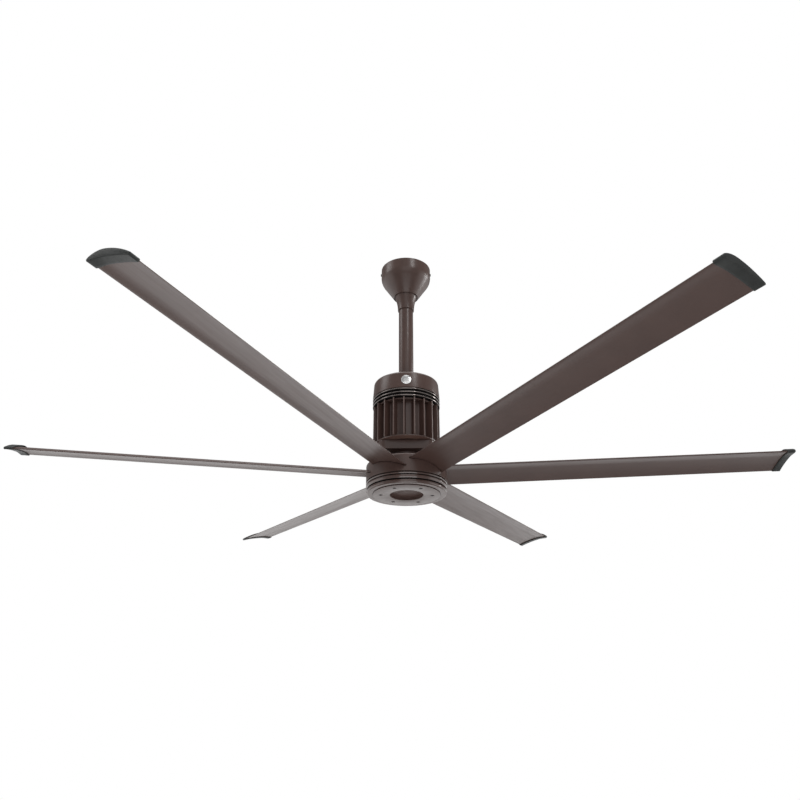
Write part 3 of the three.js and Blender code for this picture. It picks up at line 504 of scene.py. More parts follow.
def arc(centre: Point2, radius: float, start: float, end: float, steps: int) -> list[Point2]:
    """Gives points on an arc, with both its ends.

    Args:
        centre: The arc's centre.
        radius: The arc's radius.
        start: Angle of the first point, in radians.
        end: Angle of the last point, in radians.
        steps: Number of stretches.

    Returns:
        The points in order.
    """
    x, y = centre
    return [(x + radius * cos(angle), y + radius * sin(angle)) for angle in evenly(start, end, steps)]


def quarter(steps: int) -> list[Point2]:
    """Gives points on the first quarter of a circle of radius 1."""
    return arc((0, 0), 1, 0, pi / 2, steps)


def shifted(x: float, y: float, z: float = 0.0) -> Matrix:
    """Gives the matrix of a shift in millimetres."""
    return Matrix.Translation((x * MM, y * MM, z * MM))


def added(name: str, data: bpy.types.ID) -> Piece:
    """Puts a new object into the scene.

    Args:
        name: The object's name.
        data: Its mesh, light or camera.

    Returns:
        The object.
    """
    made = bpy.data.objects.new(name, data)
    bpy.context.scene.collection.objects.link(made)
    return made


def new_piece(name: str, vertices: Sequence[Vector], faces: Sequence[Sequence[int]],
              sharp: float = SHARP_ANGLE) -> Piece:
    """Makes an object from points in millimetres, with faces out and edges sharp past an angle.

    Args:
        name: The piece's name.
        vertices: Points in millimetres, in the part's frame.
        faces: Point numbers of each face.
        sharp: Angle over which an edge stays sharp.

    Returns:
        The new object.
    """
    mesh = bpy.data.meshes.new(name)
    mesh.from_pydata([Vector(v) * MM for v in vertices], [], faces)
    tidy = bmesh.new()
    tidy.from_mesh(mesh)
    bmesh.ops.remove_doubles(tidy, verts=tidy.verts, dist=SAME_PLACE)
    bmesh.ops.recalc_face_normals(tidy, faces=tidy.faces)
    tidy.to_mesh(mesh)
    tidy.free()
    made = added(name, mesh)
    smooth(made, sharp)
    return made


def smooth(piece: Piece, sharp: float = SHARP_ANGLE) -> None:
    """Shades a piece smooth up to an angle."""
    piece.data.polygons.foreach_set("use_smooth", [True] * len(piece.data.polygons))
    piece.data.set_sharp_from_angle(angle=sharp)


def turned(name: str, outline: Sequence[Point2], segments: int = ROUND_SEGMENTS) -> Piece:
    """Turns an outline of radius and height about the fan's axis.

    Args:
        name: The piece's name.
        outline: Points as radius and height, in millimetres. Its ends are joined unless it starts on
            the axis.
        segments: Number of steps round the axis.

    Returns:
        The turned piece.
    """
    count, closed = len(outline), outline[0][0] > 0
    spokes = arc((0, 0), 1, 0, 2 * pi, segments)[:-1]
    vertices = [Vector((r * c, r * s, z)) for c, s in spokes for r, z in outline]
    faces = []
    for k in range(segments):
        here, there = k * count, ((k + 1) % segments) * count
        for i in range(count if closed else count - 1):
            j = (i + 1) % count
            faces.append((here + i, there + i, there + j, here + j))
    made = new_piece(name, vertices, faces)
    drop_slivers(made)
    return made


def lathed(name: str, corners: Sequence[Corner], steps: int, segments: int = ROUND_SEGMENTS) -> Piece:
    """Turns an outline with rounded corners, which are given as for filleted."""
    return turned(name, filleted(corners, steps, closed=corners[0][0] > 0), segments)


def drop_slivers(piece: Piece) -> None:
    """Removes faces that closed up on the axis and turns every face out again.

    Args:
        piece: The piece.
    """
    work = bmesh.new()
    work.from_mesh(piece.data)
    bmesh.ops.dissolve_degenerate(work, edges=work.edges, dist=SAME_PLACE)
    bmesh.ops.recalc_face_normals(work, faces=work.faces)
    work.to_mesh(piece.data)
    work.free()
    smooth(piece)


def lofted(name: str, sections: Sequence[Sequence[Vector]], sharp: float = SHARP_ANGLE) -> Piece:
    """Joins closed sections of equal length into one solid with capped ends.

    Args:
        name: The piece's name.
        sections: Sections in order, as points in millimetres.
        sharp: Angle over which an edge stays sharp.

    Returns:
        The lofted piece.
    """
    count = len(sections[0])
    vertices = [point for section in sections for point in section]
    faces: list[Sequence[int]] = []
    for k in range(len(sections) - 1):
        for i in range(count):
            j = (i + 1) % count
            faces.append((k * count + i, k * count + j, (k + 1) * count + j, (k + 1) * count + i))
    last = (len(sections) - 1) * count
    faces.append(list(range(count))[::-1])
    faces.append([last + i for i in range(count)])
    return new_piece(name, vertices, faces, sharp)


def merged(name: str, parts: Sequence[Piece]) -> Piece:
    """Puts the meshes of several objects into one piece and drops the objects.

    Args:
        name: The new piece's name.
        parts: The objects.

    Returns:
        The new piece.
    """
    work = bmesh.new()
    for part in parts:
        part.data.transform(part.matrix_world)
        work.from_mesh(part.data)
    mesh = bpy.data.meshes.new(name)
    work.to_mesh(mesh)
    work.free()
    for part in parts:
        bpy.data.objects.remove(part)
    made = added(name, mesh)
    smooth(made)
    return made


def carved(piece: Piece, tools: Sequence[Piece]) -> Piece:
    """Cuts tools out of a piece for good and removes them.

    Args:
        piece: The piece.
        tools: Closed solids to cut out of it.

    Returns:
        The same piece.
    """
    for tool in tools:
        modifier = piece.modifiers.new("carve", "BOOLEAN")
        modifier.operation = "DIFFERENCE"
        modifier.solver = "EXACT"
        modifier.object = tool
    graph = bpy.context.evaluated_depsgraph_get()
    mesh = bpy.data.meshes.new_from_object(piece.evaluated_get(graph))
    piece.modifiers.clear()
    piece.data = mesh
    for tool in tools:
        bpy.data.objects.remove(tool)
    smooth(piece)
    return piece


def cross_recess(width: float, length: float, bottom: float, top: float) -> list[Piece]:
    """Makes the cutting tool of a cross recess, upright on the axis.

    Args:
        width: Width of each of its blades.
        length: Length of each of its blades.
        bottom: Lowest height.
        top: Highest height.

    Returns:
        The tool's two blades.
    """
    tools = []
    for number, (x, y) in enumerate(((length / 2, width / 2), (width / 2, length / 2))):
        sections = [[Vector(corner) for corner in ((-x, -y, z), (x, -y, z), (x, y, z), (-x, y, z))]
                    for z in (bottom, top)]
        tools.append(lofted(f"recess_tool_{number}", sections))
    return tools


def dress(piece: Piece, body: Body, finish: Finish, *nodes: str) -> Piece:
    """Gives a new piece its finish, its body and the nodes that it stands for.

    Args:
        piece: The piece.
        body: Body that it rides on.
        finish: Its finish.
        nodes: CAD nodes that it replaces.

    Returns:
        The same piece.
    """
    piece.data.materials.clear()
    piece.data.materials.append(material_of(finish))
    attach(piece, body.value)
    if nodes:
        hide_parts(*nodes)
    log.info("%s rides on %s, replaces %s", piece.name, body.value, ", ".join(nodes) or "nothing")
    return piece


def recoat(piece: Piece, finish: Finish, chosen: Callable[[float, float, float], bool]) -> None:
    """Gives a second finish to some faces of a piece.

    Args:
        piece: The piece, with its own finish already on it.
        finish: Finish of the chosen faces.
        chosen: Tells by a face's radius, height (both in millimetres) and upward lean whether it is one.
    """
    piece.data.materials.append(material_of(finish))
    number = len(piece.data.materials) - 1
    for face in piece.data.polygons:
        centre = face.center / MM
        if chosen(hypot(centre.x, centre.y), centre.z, face.normal.z):
            face.material_index = number


def wear(finish: Finish, *names: str) -> None:
    """Gives a finish to CAD nodes that stay as they are.

    Args:
        finish: The finish.
        names: The nodes' names.
    """
    for name in names:
        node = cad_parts[name]
        node.data.materials.clear()
        node.data.materials.append(material_of(finish))
        log.info("%s keeps its shape and takes %s", name, finish.name)


def limits(node: str) -> Point2:
    """Gives a node's lowest and highest point along the axis, in millimetres."""
    low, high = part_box(node)
    return low.z / MM, high.z / MM


# Sub-assemblies, from the ceiling down, with lengths in millimetres and angles in degrees

@dataclass
class CeilingMount:
    """Bracket in the canopy, the canopy itself and its two screws."""

    radius: float = 74.1
    wall: float = 1.6
    corner: float = 39.7
    shoulder: float = 42.0
    shoulder_steps: int = 16
    mouth: float = 35.5
    lip_width: float = 0.9
    height: float = 96.0
    rim: float = 2.0
    screw_drop: float = 14.0
    screw_gap: float = 0.3
    screw_head: float = 4.2
    screw_proud: float = 1.8
    screw_length: float = 6.5
    screw_lift: float = 0.1
    screw_tip: float = 1.6
    shank: float = 2.0
    recess: Corner = (1.1, 2.4, 0.9)

    def build(self) -> None:
        """Builds the canopy and screws and dresses the bracket."""
        self.canopy()
        for name, side in (("canopy_screw_right", 1), ("canopy_screw_left", -1)):
            self.screw(name, side)
        wear(ZINC, "ceiling_bracket")

    def canopy(self) -> None:
        """Builds the spun canopy with rolled lips."""
        lip, mouth = self.wall, self.mouth
        slope = atan2(self.radius - mouth - lip, self.height - lip - self.corner)
        middle = (self.radius - self.shoulder, -self.corner + self.shoulder * tan(slope / 2))
        outside = arc(middle, self.shoulder, -slope, 0, self.shoulder_steps)
        inside = arc(middle, self.shoulder - lip, 0, -slope, self.shoulder_steps)
        lower = filleted([(mouth, 2 * lip - self.height, 0), (mouth, -self.height, lip / 2),
                          (mouth + lip * self.lip_width, -self.height, lip / 2), (*outside[0], 0)],
                         steps=4, closed=False)
        upper = filleted([(self.radius, -self.rim, 0), (self.radius, 0, 0.6), (self.radius - lip, 0, 0.6),
                          (self.radius - lip, -self.rim, 0)], steps=3, closed=False)
        made = turned("canopy_shell", lower[:-1] + outside + upper + inside)
        dress(made, Body.MOUNT, HOUSING_PAINT, "canopy")

    def screw(self, name: str, side: int) -> None:
        """Builds one pan-head canopy screw with a cross recess.

        Args:
            name: The node that it stands for.
            side: 1 for the right, -1 for the left.
        """
        head, proud, shank, lift = self.screw_head, self.screw_proud, self.shank, self.screw_lift
        width, length, depth = self.recess
        made = lathed(name + "_pan_head", [
            (0, -self.screw_length, 0), (self.screw_tip, -self.screw_length, 0.4), (shank, lift, 0),
            (head, lift, 0.3), (head, proud, 1.2), (0, proud, 0)], steps=4, segments=32)
        carved(made, cross_recess(width, length, proud - depth, proud + OVERRUN))
        upright = Matrix.Rotation(side * pi / 2, 4, "Y")
        made.data.transform(shifted(side * (self.radius + self.screw_gap), 0, -self.screw_drop) @ upright)
        dress(made, Body.MOUNT, SCREW_METAL, name)


@dataclass
class Suspension:
    """Ball, collar and downrod."""

    rod_radius: float = 21.2
    rod_wall: float = 3.0
    rod_gap: float = 0.3
    ball_radius: float = 34.0
    ball_drop: float = 44.0
    ball_above: float = 14.0
    ball_below: float = 22.0
    ball_steps: int = 28
    collar_sweep: float = 130.0
    collar_steps: int = 20
    collar_foot: float = 24.0
    collar_foot_height: float = 4.0
    collar_join: float = 2.0
    collar_rim: Corner = (2.6, 4.2, 8.0)
    collar_thinning: tuple[Point2, Point2] = ((1.4, 0.45), (0.0, 0.35))

    def build(self) -> None:
        """Builds the ball, collar and rod and dresses the pins and the coupling."""
        self.ball()
        self.collar()
        self.rod()
        wear(ZINC, "hanger_pin", "coupling_pin", "rod_coupling")

    def ball(self) -> None:
        """Builds the moulded hanger ball with its bore."""
        bore, middle = self.rod_radius + self.rod_gap, -self.ball_drop
        low = asin(-self.ball_below / self.ball_radius)
        high = asin(self.ball_above / self.ball_radius)
        round_side = arc((0, middle), self.ball_radius, low, high, self.ball_steps)
        outline = [(bore, middle - self.ball_below), *round_side, (bore, middle + self.ball_above)]
        dress(turned("hanger_ball_moulding", outline, segments=96), Body.HANGER, BALL_PLASTIC, "hanger_ball")

    def collar(self) -> None:
        """Builds the trumpet collar that covers the canopy's mouth."""
        bottom, top = limits("canopy_collar")
        bore, length = self.rod_radius + self.rod_gap, top - bottom
        sweep = asin(length / self.collar_sweep)
        edge = self.collar_foot + self.collar_sweep * (1 - cos(sweep))
        outer = arc((self.collar_foot + self.collar_sweep, bottom), self.collar_sweep,
                    pi, pi - sweep, self.collar_steps)[1:-1]
        (foot_x, foot_z), (rim_x, rim_z) = outer[0], outer[-1]
        flat, slant, drop = self.collar_rim
        foot = filleted([
            (bore, bottom + self.collar_foot_height, 0), (bore, bottom, 0.5), (self.collar_foot, bottom, 1.1),
            (foot_x, foot_z + self.collar_join, 0)], steps=5, closed=False)[:-1]
        rim = filleted([
            (rim_x, rim_z, 0), (edge, top, 0.9), (edge - flat, top, 0.9), (edge - slant, top - drop, 0)],
            steps=4, closed=False)[1:]
        inner = [(bore + gap, bottom + length * share) for gap, share in self.collar_thinning]
        made = turned("collar_trumpet", foot + outer + rim + inner)
        dress(made, Body.HANGER, HOUSING_PAINT, "canopy_collar")

    def rod(self) -> None:
        """Builds the downrod as a seamless tube with broken edges."""
        bottom, top = limits("downrod")
        outer, inner = self.rod_radius, self.rod_radius - self.rod_wall
        tube = lathed("downrod_tube", [
            (inner, bottom, 0.5), (outer, bottom, 0.5), (outer, top, 0.8), (inner, top, 0.8)],
            steps=4, segments=128)
        dress(tube, Body.HANGER, HOUSING_PAINT, "downrod")


@dataclass
class MotorBody:
    """Everything round the motor that hangs still: cover, ridges, fins, end cover and inner parts."""

    cover_radius: float = 94.6
    cover_taper: float = 3.6
    cover_edge: float = 8.0
    cover_wall: float = 2.5
    rod_hole: float = 23.0
    badge_radius: float = 14.0
    badge_drop: float = 28.0
    badge_bed: float = 1.4
    badge_edge: float = 1.3
    badge_dome: float = 1.7
    badge_rim: Point2 = (1.5, 2.0)
    badge_dish: float = 0.5
    badge_swell: Corner = (0.55, 0.25, 6.0)
    badge_gap: float = 0.35
    groove_depth: float = 4.2
    ridge_height: float = 4.6
    ridge_pitch: float = 9.9
    ridge_first: float = 3.5
    ridge_bore: float = 82.0
    ridge_bevel: float = 0.6
    ridge_land: float = 0.9
    fins: int = 20
    fin_phase: float = -4.1
    fin_radius: float = 93.0
    fin_half: float = 1.8
    fin_edge: float = 0.8
    fin_sharp: float = 38.0
    core_radius: float = 70.0
    bore: float = 65.5
    root_fillet: float = 3.2
    root_share: float = 0.45
    foot_fillet: float = 5.0
    foot_steps: int = 6
    flange: float = 4.0
    flange_inset: float = 7.0
    band_height: float = 3.0
    band_radius: float = 91.6
    band_lap: float = 3.0
    end_size: Point2 = (76.0, 64.0)
    end_corner: float = 20.0
    end_draft: float = 1.6
    end_height: float = 26.0
    end_recess: float = 58.0
    end_straight: float = 3.0
    end_wall: float = 4.0
    end_boss: float = 45.0
    end_seat: float = 26.3
    end_lip: float = 3.0
    end_bore: float = 18.5

    def build(self) -> None:
        """Builds the visible housings and dresses what is inside them."""
        self.top_cover()
        self.badge()
        self.ridges()
        self.housing()
        self.end_cover()
        wear(BOARD_PLASTIC, "drive_board")
        wear(LAMINATION_METAL, "stator_core")
        wear(COPPER_METAL, "stator_winding")
        wear(BEARING_METAL, "upper_bearing_outer", "lower_bearing_outer")

    def top_cover(self) -> None:
        """Builds the drafted top cover with a rounded shoulder and a collared rod hole."""
        bottom, top = limits("top_cover")
        wall, edge = self.cover_wall, self.cover_edge
        lower, upper = self.cover_radius, self.cover_radius - self.cover_taper
        shell = lathed("top_cover_shell", [
            (self.rod_hole, top, 0.7), (upper, top, edge), (lower, bottom, 0.5), (lower - wall, bottom, 0.4),
            (upper - wall, top - wall, edge - wall), (self.rod_hole, top - wall, 0.4)], steps=9)
        dress(shell, Body.HANGER, HOUSING_PAINT, "top_cover")

    def badge(self) -> None:
        """Builds the plain badge: a low dome with a raised rim, bedded on the cover's slope."""
        bottom, top = limits("top_cover")
        r, bed, edge, dome = self.badge_radius, -self.badge_bed, self.badge_edge, self.badge_dome
        (wide, narrow), (share, drop, swell) = self.badge_rim, self.badge_swell
        made = lathed("badge_plain_disc", [
            (0, bed, 0), (r, bed, 0.2), (r, edge, 0.6), (r - wide, edge, 0.5),
            (r - narrow, edge - self.badge_dish, 0.3), (share * r, dome - drop, swell), (0, dome, 0)],
            steps=5, segments=72)
        draft = atan2(self.cover_taper, top - bottom)
        reach = self.cover_radius - self.cover_taper + tan(draft) * self.badge_drop + self.badge_gap
        tilt = Matrix.Rotation(pi / 2 - draft, 4, "X")
        made.data.transform(shifted(0, -reach, top - self.badge_drop) @ tilt)
        self.wrap(made, reach)
        dress(made, Body.HANGER, BADGE_METAL, "badge_disc")

    @staticmethod
    def wrap(piece: Piece, reach: float) -> None:
        """Curves a flat piece on the front round a cylinder about the axis.

        Args:
            piece: The piece.
            reach: The cylinder's radius, in millimetres.
        """
        for vertex in piece.data.vertices:
            x = vertex.co.x / MM
            vertex.co.y += (reach - sqrt(reach ** 2 - x ** 2)) * MM
        smooth(piece)

    def ridges(self) -> None:
        """Builds the ring with three rounded polished ridges."""
        bottom, top = limits("ridge_ring")
        land, groove = self.cover_radius, self.cover_radius - self.groove_depth
        half, bevel = self.ridge_height / 2, self.ridge_bevel
        corners: list[Corner] = [(self.ridge_bore, bottom, 0.5), (groove, bottom, 0.3)]
        for number in (2, 1, 0):
            middle = top - self.ridge_first - number * self.ridge_pitch
            lower, upper = max(middle - half, bottom), min(middle + half, top)
            corners += [(groove, lower, 0.4), (land, lower + bevel, 1.5), (land, upper - bevel, 1.5),
                        (groove, upper, 0.4)]
        corners += [(groove, top, 0.3), (self.ridge_bore, top, 0.5)]
        ring = dress(lathed("ridge_ring_turned", corners, steps=5), Body.HANGER, RIDGE_FINISH, "ridge_ring")
        # Faces below the lands, down in the grooves, take near-black painted shade
        recoat(ring, PAINTED_GROOVE_SHADE, lambda radius, height, lean: radius < land - self.ridge_land)

    def fin_plan(self, spread: float, reach: float) -> list[Point2]:
        """Gives the plan of core and fins, with each fin thicker by twice the spread.

        Args:
            spread: How far each side of a fin stands out from its own place.
            reach: Radius at the fins' outer edges.

        Returns:
            The plan's points, the same number for every spread.
        """
        half, edge, core = self.fin_half + spread, self.fin_edge, self.core_radius
        base, step = sqrt(core ** 2 - half ** 2), pi / self.fins
        side, middle = core * sin(step), core * cos(step)
        root = min(self.root_fillet, self.root_share * (side - half))
        profile = filleted([
            (middle, -side, 0), (base, -half, root), (reach, -half, edge), (reach, half, edge),
            (base, half, root), (middle, side, 0)], steps=4, closed=False)[:-1]
        start = radians(self.fin_phase - 90)
        turns = arc((0, 0), 1, start, start + 2 * pi, self.fins)[:-1]
        return [(x * c - y * s, x * s + y * c) for c, s in turns for x, y in profile]

    def housing(self) -> None:
        """Builds the finned housing: fins with rounded roots and feet, a flange above, a band below.

        The band's underside carries a lighter painted light from below, and the fins' outer edges a lighter
        painted highlight.
        """
        bottom, top = limits("motor_housing")
        fin_top, fin_bottom = top - self.flange, bottom + self.band_height
        foot, wide, narrow = self.foot_fillet, self.fin_radius, self.band_radius
        levels = [(top - CLOSE, 0.0, wide), (fin_bottom + foot, 0.0, wide)]
        for share in evenly(0, 1, self.foot_steps)[1:]:
            curve = 1 - sqrt(1 - share ** 2)
            levels.append((fin_bottom + foot * (1 - share), foot / 2 * curve, wide - (wide - narrow) * curve))
        levels.append((fin_bottom - NEAR, foot / 2, narrow))
        sections = [[Vector((x, y, z)) for x, y in self.fin_plan(spread, reach)]
                    for z, spread, reach in levels]
        body = lofted("fins", sections, radians(self.fin_sharp))
        rim, inner = wide - self.flange_inset, self.core_radius - self.band_lap
        flange = lathed("flange", [
            (self.bore, fin_top, 0), (rim, fin_top, 0.6), (rim, top, 0.6), (self.bore, top, 0)], steps=4)
        band = lathed("band", [
            (inner, bottom, 0), (narrow, bottom, 0.8), (narrow, fin_bottom, 0.8), (inner, fin_bottom, 0)],
            steps=6)
        housing = dress(merged("motor_housing_finned", [body, flange, band]), Body.HANGER,
                        HOUSING_PAINT, "motor_housing")
        # The band's underside takes the lighter painted light from below
        recoat(housing, UNDERSIDE_LIGHT_PAINT, lambda radius, height, lean: lean < DOWNWARD and height < bottom + NEAR)
        # The fins' outer faces take the lighter painted highlight
        recoat(housing, FIN_HIGHLIGHT_PAINT, lambda radius, height, lean: radius > wide - NEAR and abs(lean) < UPRIGHT)

    def end_cover(self) -> None:
        """Builds the square lower cover with its round recess, its boss and the bearing's seat."""
        low, top = limits("lower_motor_cover")
        bottom = top - self.end_height
        floor, lip = bottom + self.end_wall, low + self.end_lip
        bore, boss, seat = self.end_bore, self.end_boss, self.end_seat
        recess, side = self.end_recess, self.end_size[1]
        cover = lathed("lower_motor_cover_block", [
            (bore, low, 0.8), (boss, low, 1.2), (boss, bottom, 1.0), (side - self.end_draft, bottom, 1.2),
            (side, top, 1.6), (recess, top, 0.5), (recess, floor, 1.0), (seat, floor, 0.4), (seat, lip, 0.3),
            (bore, lip, 0.3)], steps=6, segments=240)
        self.squared(cover)
        dress(cover, Body.HANGER, HOUSING_PAINT, "lower_motor_cover")

    def squared(self, piece: Piece) -> None:
        """Moves a turned cover's outer points out to a rectangle with rounded corners.

        Args:
            piece: The cover.
        """
        for vertex in piece.data.vertices:
            across = vertex.co.to_2d() / MM
            inset = self.end_size[1] - across.length
            if inset > self.end_size[1] - self.end_recess - self.end_straight:
                continue
            ahead = Vector((abs(across.x), abs(across.y))).normalized()
            half = Vector(self.end_size) - Vector((inset, inset))
            corner = self.end_corner - inset
            centre = half - Vector((corner, corner))
            reach = min(half.x / max(ahead.x, SHORTEST), half.y / max(ahead.y, SHORTEST))
            if ahead.x * reach > centre.x and ahead.y * reach > centre.y:
                along = ahead.dot(centre)
                reach = along + sqrt(along ** 2 - centre.length_squared + corner ** 2)
            vertex.co.x *= reach / across.length
            vertex.co.y *= reach / across.length
        smooth(piece)


@dataclass
class BladeShape:
    """Section and placing of the blades, which the blades, caps and hub slots share.

    The half thickness is fullness x thickness x chord x a curve over the fraction of the chord. The curve is
    nose x the fraction's root, plus thinning's shares x the fraction's powers from 1 up.
    """

    count: int = 6
    turn: float = 2.65
    pitch: float = 11.75
    rise: float = 3.262
    boss_height: float = 9.0
    drop: float = 30.4
    leading: float = 53.4
    trailing: float = 50.5
    thickness: float = 0.12
    camber: float = 0.092
    camber_place: float = 0.35
    edge: float = 1.6
    crown: float = 0.75
    thinning: tuple[float, ...] = (-0.126, -0.3516, 0.2843, -0.1036)
    nose: float = 0.2969
    fullness: float = 5.0
    tip_radius: float = 1066.8
    root: float = 88.0
    cap_length: float = 22.8
    steps: int = 44

    def heading(self, index: int) -> float:
        """Gives a blade's direction round the axis, in radians."""
        return radians(self.turn + 360 / self.count * index)

    def matrix(self, index: int) -> Matrix:
        """Gives a blade's own frame, with X along it and Z up from its chord.

        Args:
            index: Number of the blade, from 0.

        Returns:
            The frame's matrix, in millimetres.
        """
        height = limits("hub_drum")[1] - self.boss_height - self.drop
        around = Matrix.Rotation(self.heading(index), 4, "Z")
        lifted = Matrix.Translation((0, 0, height))
        raised = Matrix.Rotation(-radians(self.rise), 4, "Y")
        pitched = Matrix.Rotation(-radians(self.pitch), 4, "X")
        return around @ lifted @ raised @ pitched

    @property
    def reach(self) -> float:
        """Gives the length of a blade with its cap, along its own frame."""
        return self.tip_radius / cos(radians(self.rise))

    def at(self, fraction: float, crown: float = 1.0) -> Corner:
        """Gives the place across, the upper and the lower height at a fraction of the chord.

        Args:
            fraction: Place on the chord, from the leading edge.
            crown: Share of the full thickness, taken off the top.

        Returns:
            The place across, the upper height and the lower height.
        """
        chord = self.leading + self.trailing
        powers = sum(share * fraction ** (power + 1) for power, share in enumerate(self.thinning))
        half = self.fullness * self.thickness * chord * (self.nose * sqrt(fraction) + powers)
        rim = fraction * self.edge / 2
        run = self.camber_place if fraction < self.camber_place else 1 - self.camber_place
        middle = self.camber * chord * (1 - ((fraction - self.camber_place) / run) ** 2)
        return fraction * chord - self.leading, middle + half * (2 * crown - 1) + rim, middle - half - rim

    def outline(self, grow: float = 0.0, crown: float = 1.0) -> list[Point2]:
        """Gives the section's points, moved outwards by an amount.

        Args:
            grow: Distance by which the section grows all round.
            crown: Share of the full thickness, taken off the top.

        Returns:
            Points as place across and height, from the trailing edge over the top and back.
        """
        points: list[Point2] = []
        for i in range(-self.steps, self.steps + 1):
            across, upper, lower = self.at((1 - cos(pi * i / self.steps)) / 2, crown)
            points.append((across, upper if i < 0 else lower))
        if not grow:
            return points
        moved = []
        count = len(points)
        for i, (x, y) in enumerate(points):
            before, after = Vector(points[i - 1]), Vector(points[(i + 1) % count])
            along = (after - before).normalized()
            moved.append((x + along.y * grow, y - along.x * grow))
        return moved

    def section(self, index: int, along: float, grow: float = 0.0, crown: float = 1.0) -> list[Vector]:
        """Gives a section's points in the part's frame.

        Args:
            index: Number of the blade, from 0.
            along: Distance along the blade.
            grow: Distance by which the section grows all round.
            crown: Share of the full thickness, taken off the top.

        Returns:
            Points in millimetres.
        """
        place = self.matrix(index)
        return [place @ Vector((along, x, y)) for x, y in self.outline(grow, crown)]


@dataclass
class Blades:
    """Six extruded blades, their tip caps and the arms inside them."""

    shape: BladeShape
    proud: float = 2.6
    rim: float = 2.0
    lip: float = 0.7
    socket: float = 13.0
    lip_start: float = 3.0
    lip_turn: float = 0.4
    lip_grow: float = 0.25
    swell: float = 6.0
    stretches: int = 12
    blade_sharp: float = 50.0
    cap_sharp: float = 40.0
    lip_steps: int = 3
    rim_steps: int = 6
    arm_cell: Point2 = (0.373, 0.647)
    arm_stretches: int = 6
    arm_skin: float = 2.0
    arm_start: float = 48.6
    arm_end: float = 210.0
    foot: Corner = (12.0, 46.0, 24.0)
    foot_taper: float = 1.0

    def build(self) -> None:
        """Builds every blade, cap and arm."""
        for index in range(self.shape.count):
            self.blade(index)
            self.cap(index)
            self.arm(index)

    def blade(self, index: int) -> None:
        """Builds one blade, from inside the hub to inside its cap.

        Args:
            index: Number of the blade, from 0.
        """
        shape, name = self.shape, f"blade_{index + 1}"
        end = shape.reach - shape.cap_length + self.socket
        sections = [shape.section(index, along, crown=shape.crown)
                    for along in evenly(shape.root, end, self.stretches)]
        finish = DrawnPaint(f"blade_paint_{index + 1}", Slot.BLADE, BLADE_BRONZE, shape.heading(index))
        dress(lofted(name + "_extrusion", sections, radians(self.blade_sharp)), Body.ROTOR, finish, name)

    def arm(self, index: int) -> None:
        """Builds the cast bar that carries a blade, with a foot against the carrier.

        Args:
            index: Number of the blade, from 0.
        """
        shape, skin, name = self.shape, self.arm_skin, f"blade_arm_{index + 1}"
        length, width, height = self.foot
        spots = [shape.at(fraction, shape.crown) for fraction in evenly(*self.arm_cell, self.arm_stretches)]
        bar = [(across, bottom + skin) for across, top, bottom in spots]
        bar += [(across, top - skin) for across, top, bottom in reversed(spots)]
        across, top, bottom = shape.at(sum(self.arm_cell) / 2)
        edges = evenly(across - width / 2, across + width / 2, self.arm_stretches)
        foot = [(edge, (top + bottom - height) / 2) for edge in edges]
        foot += [(edge, (top + bottom + height) / 2) for edge in reversed(edges)]
        step = self.arm_start + length
        stations = ((self.arm_start, foot), (step, foot), (step + self.foot_taper, bar), (self.arm_end, bar))
        place = shape.matrix(index)
        sections = [[place @ Vector((along, x, y)) for x, y in points] for along, points in stations]
        dress(lofted(name + "_casting", sections), Body.ROTOR, CASTING_METAL, name)

    def cap(self, index: int) -> None:
        """Builds one moulded tip cap with a rolled inner lip and a rounded end.

        Args:
            index: Number of the blade, from 0.
        """
        shape, lip, rim, name = self.shape, self.lip, self.rim, f"tip_cap_{index + 1}"
        start, end = shape.reach - shape.cap_length, shape.reach
        stations = [(start + inside, self.lip_grow) for inside in (self.lip_start, self.lip_turn)]
        stations.append((start, lip))
        stations += [(start + lip * (1 - c), lip + (self.proud - lip) * s)
                     for c, s in quarter(self.lip_steps)[1:]]
        stations.append((start + self.swell, self.proud))
        stations += [(end - rim * (1 - s), self.proud - rim * (1 - c)) for c, s in quarter(self.rim_steps)]
        sections = [shape.section(index, along, grow) for along, grow in stations]
        dress(lofted(name + "_moulding", sections, radians(self.cap_sharp)), Body.ROTOR, CAP_PLASTIC, name)


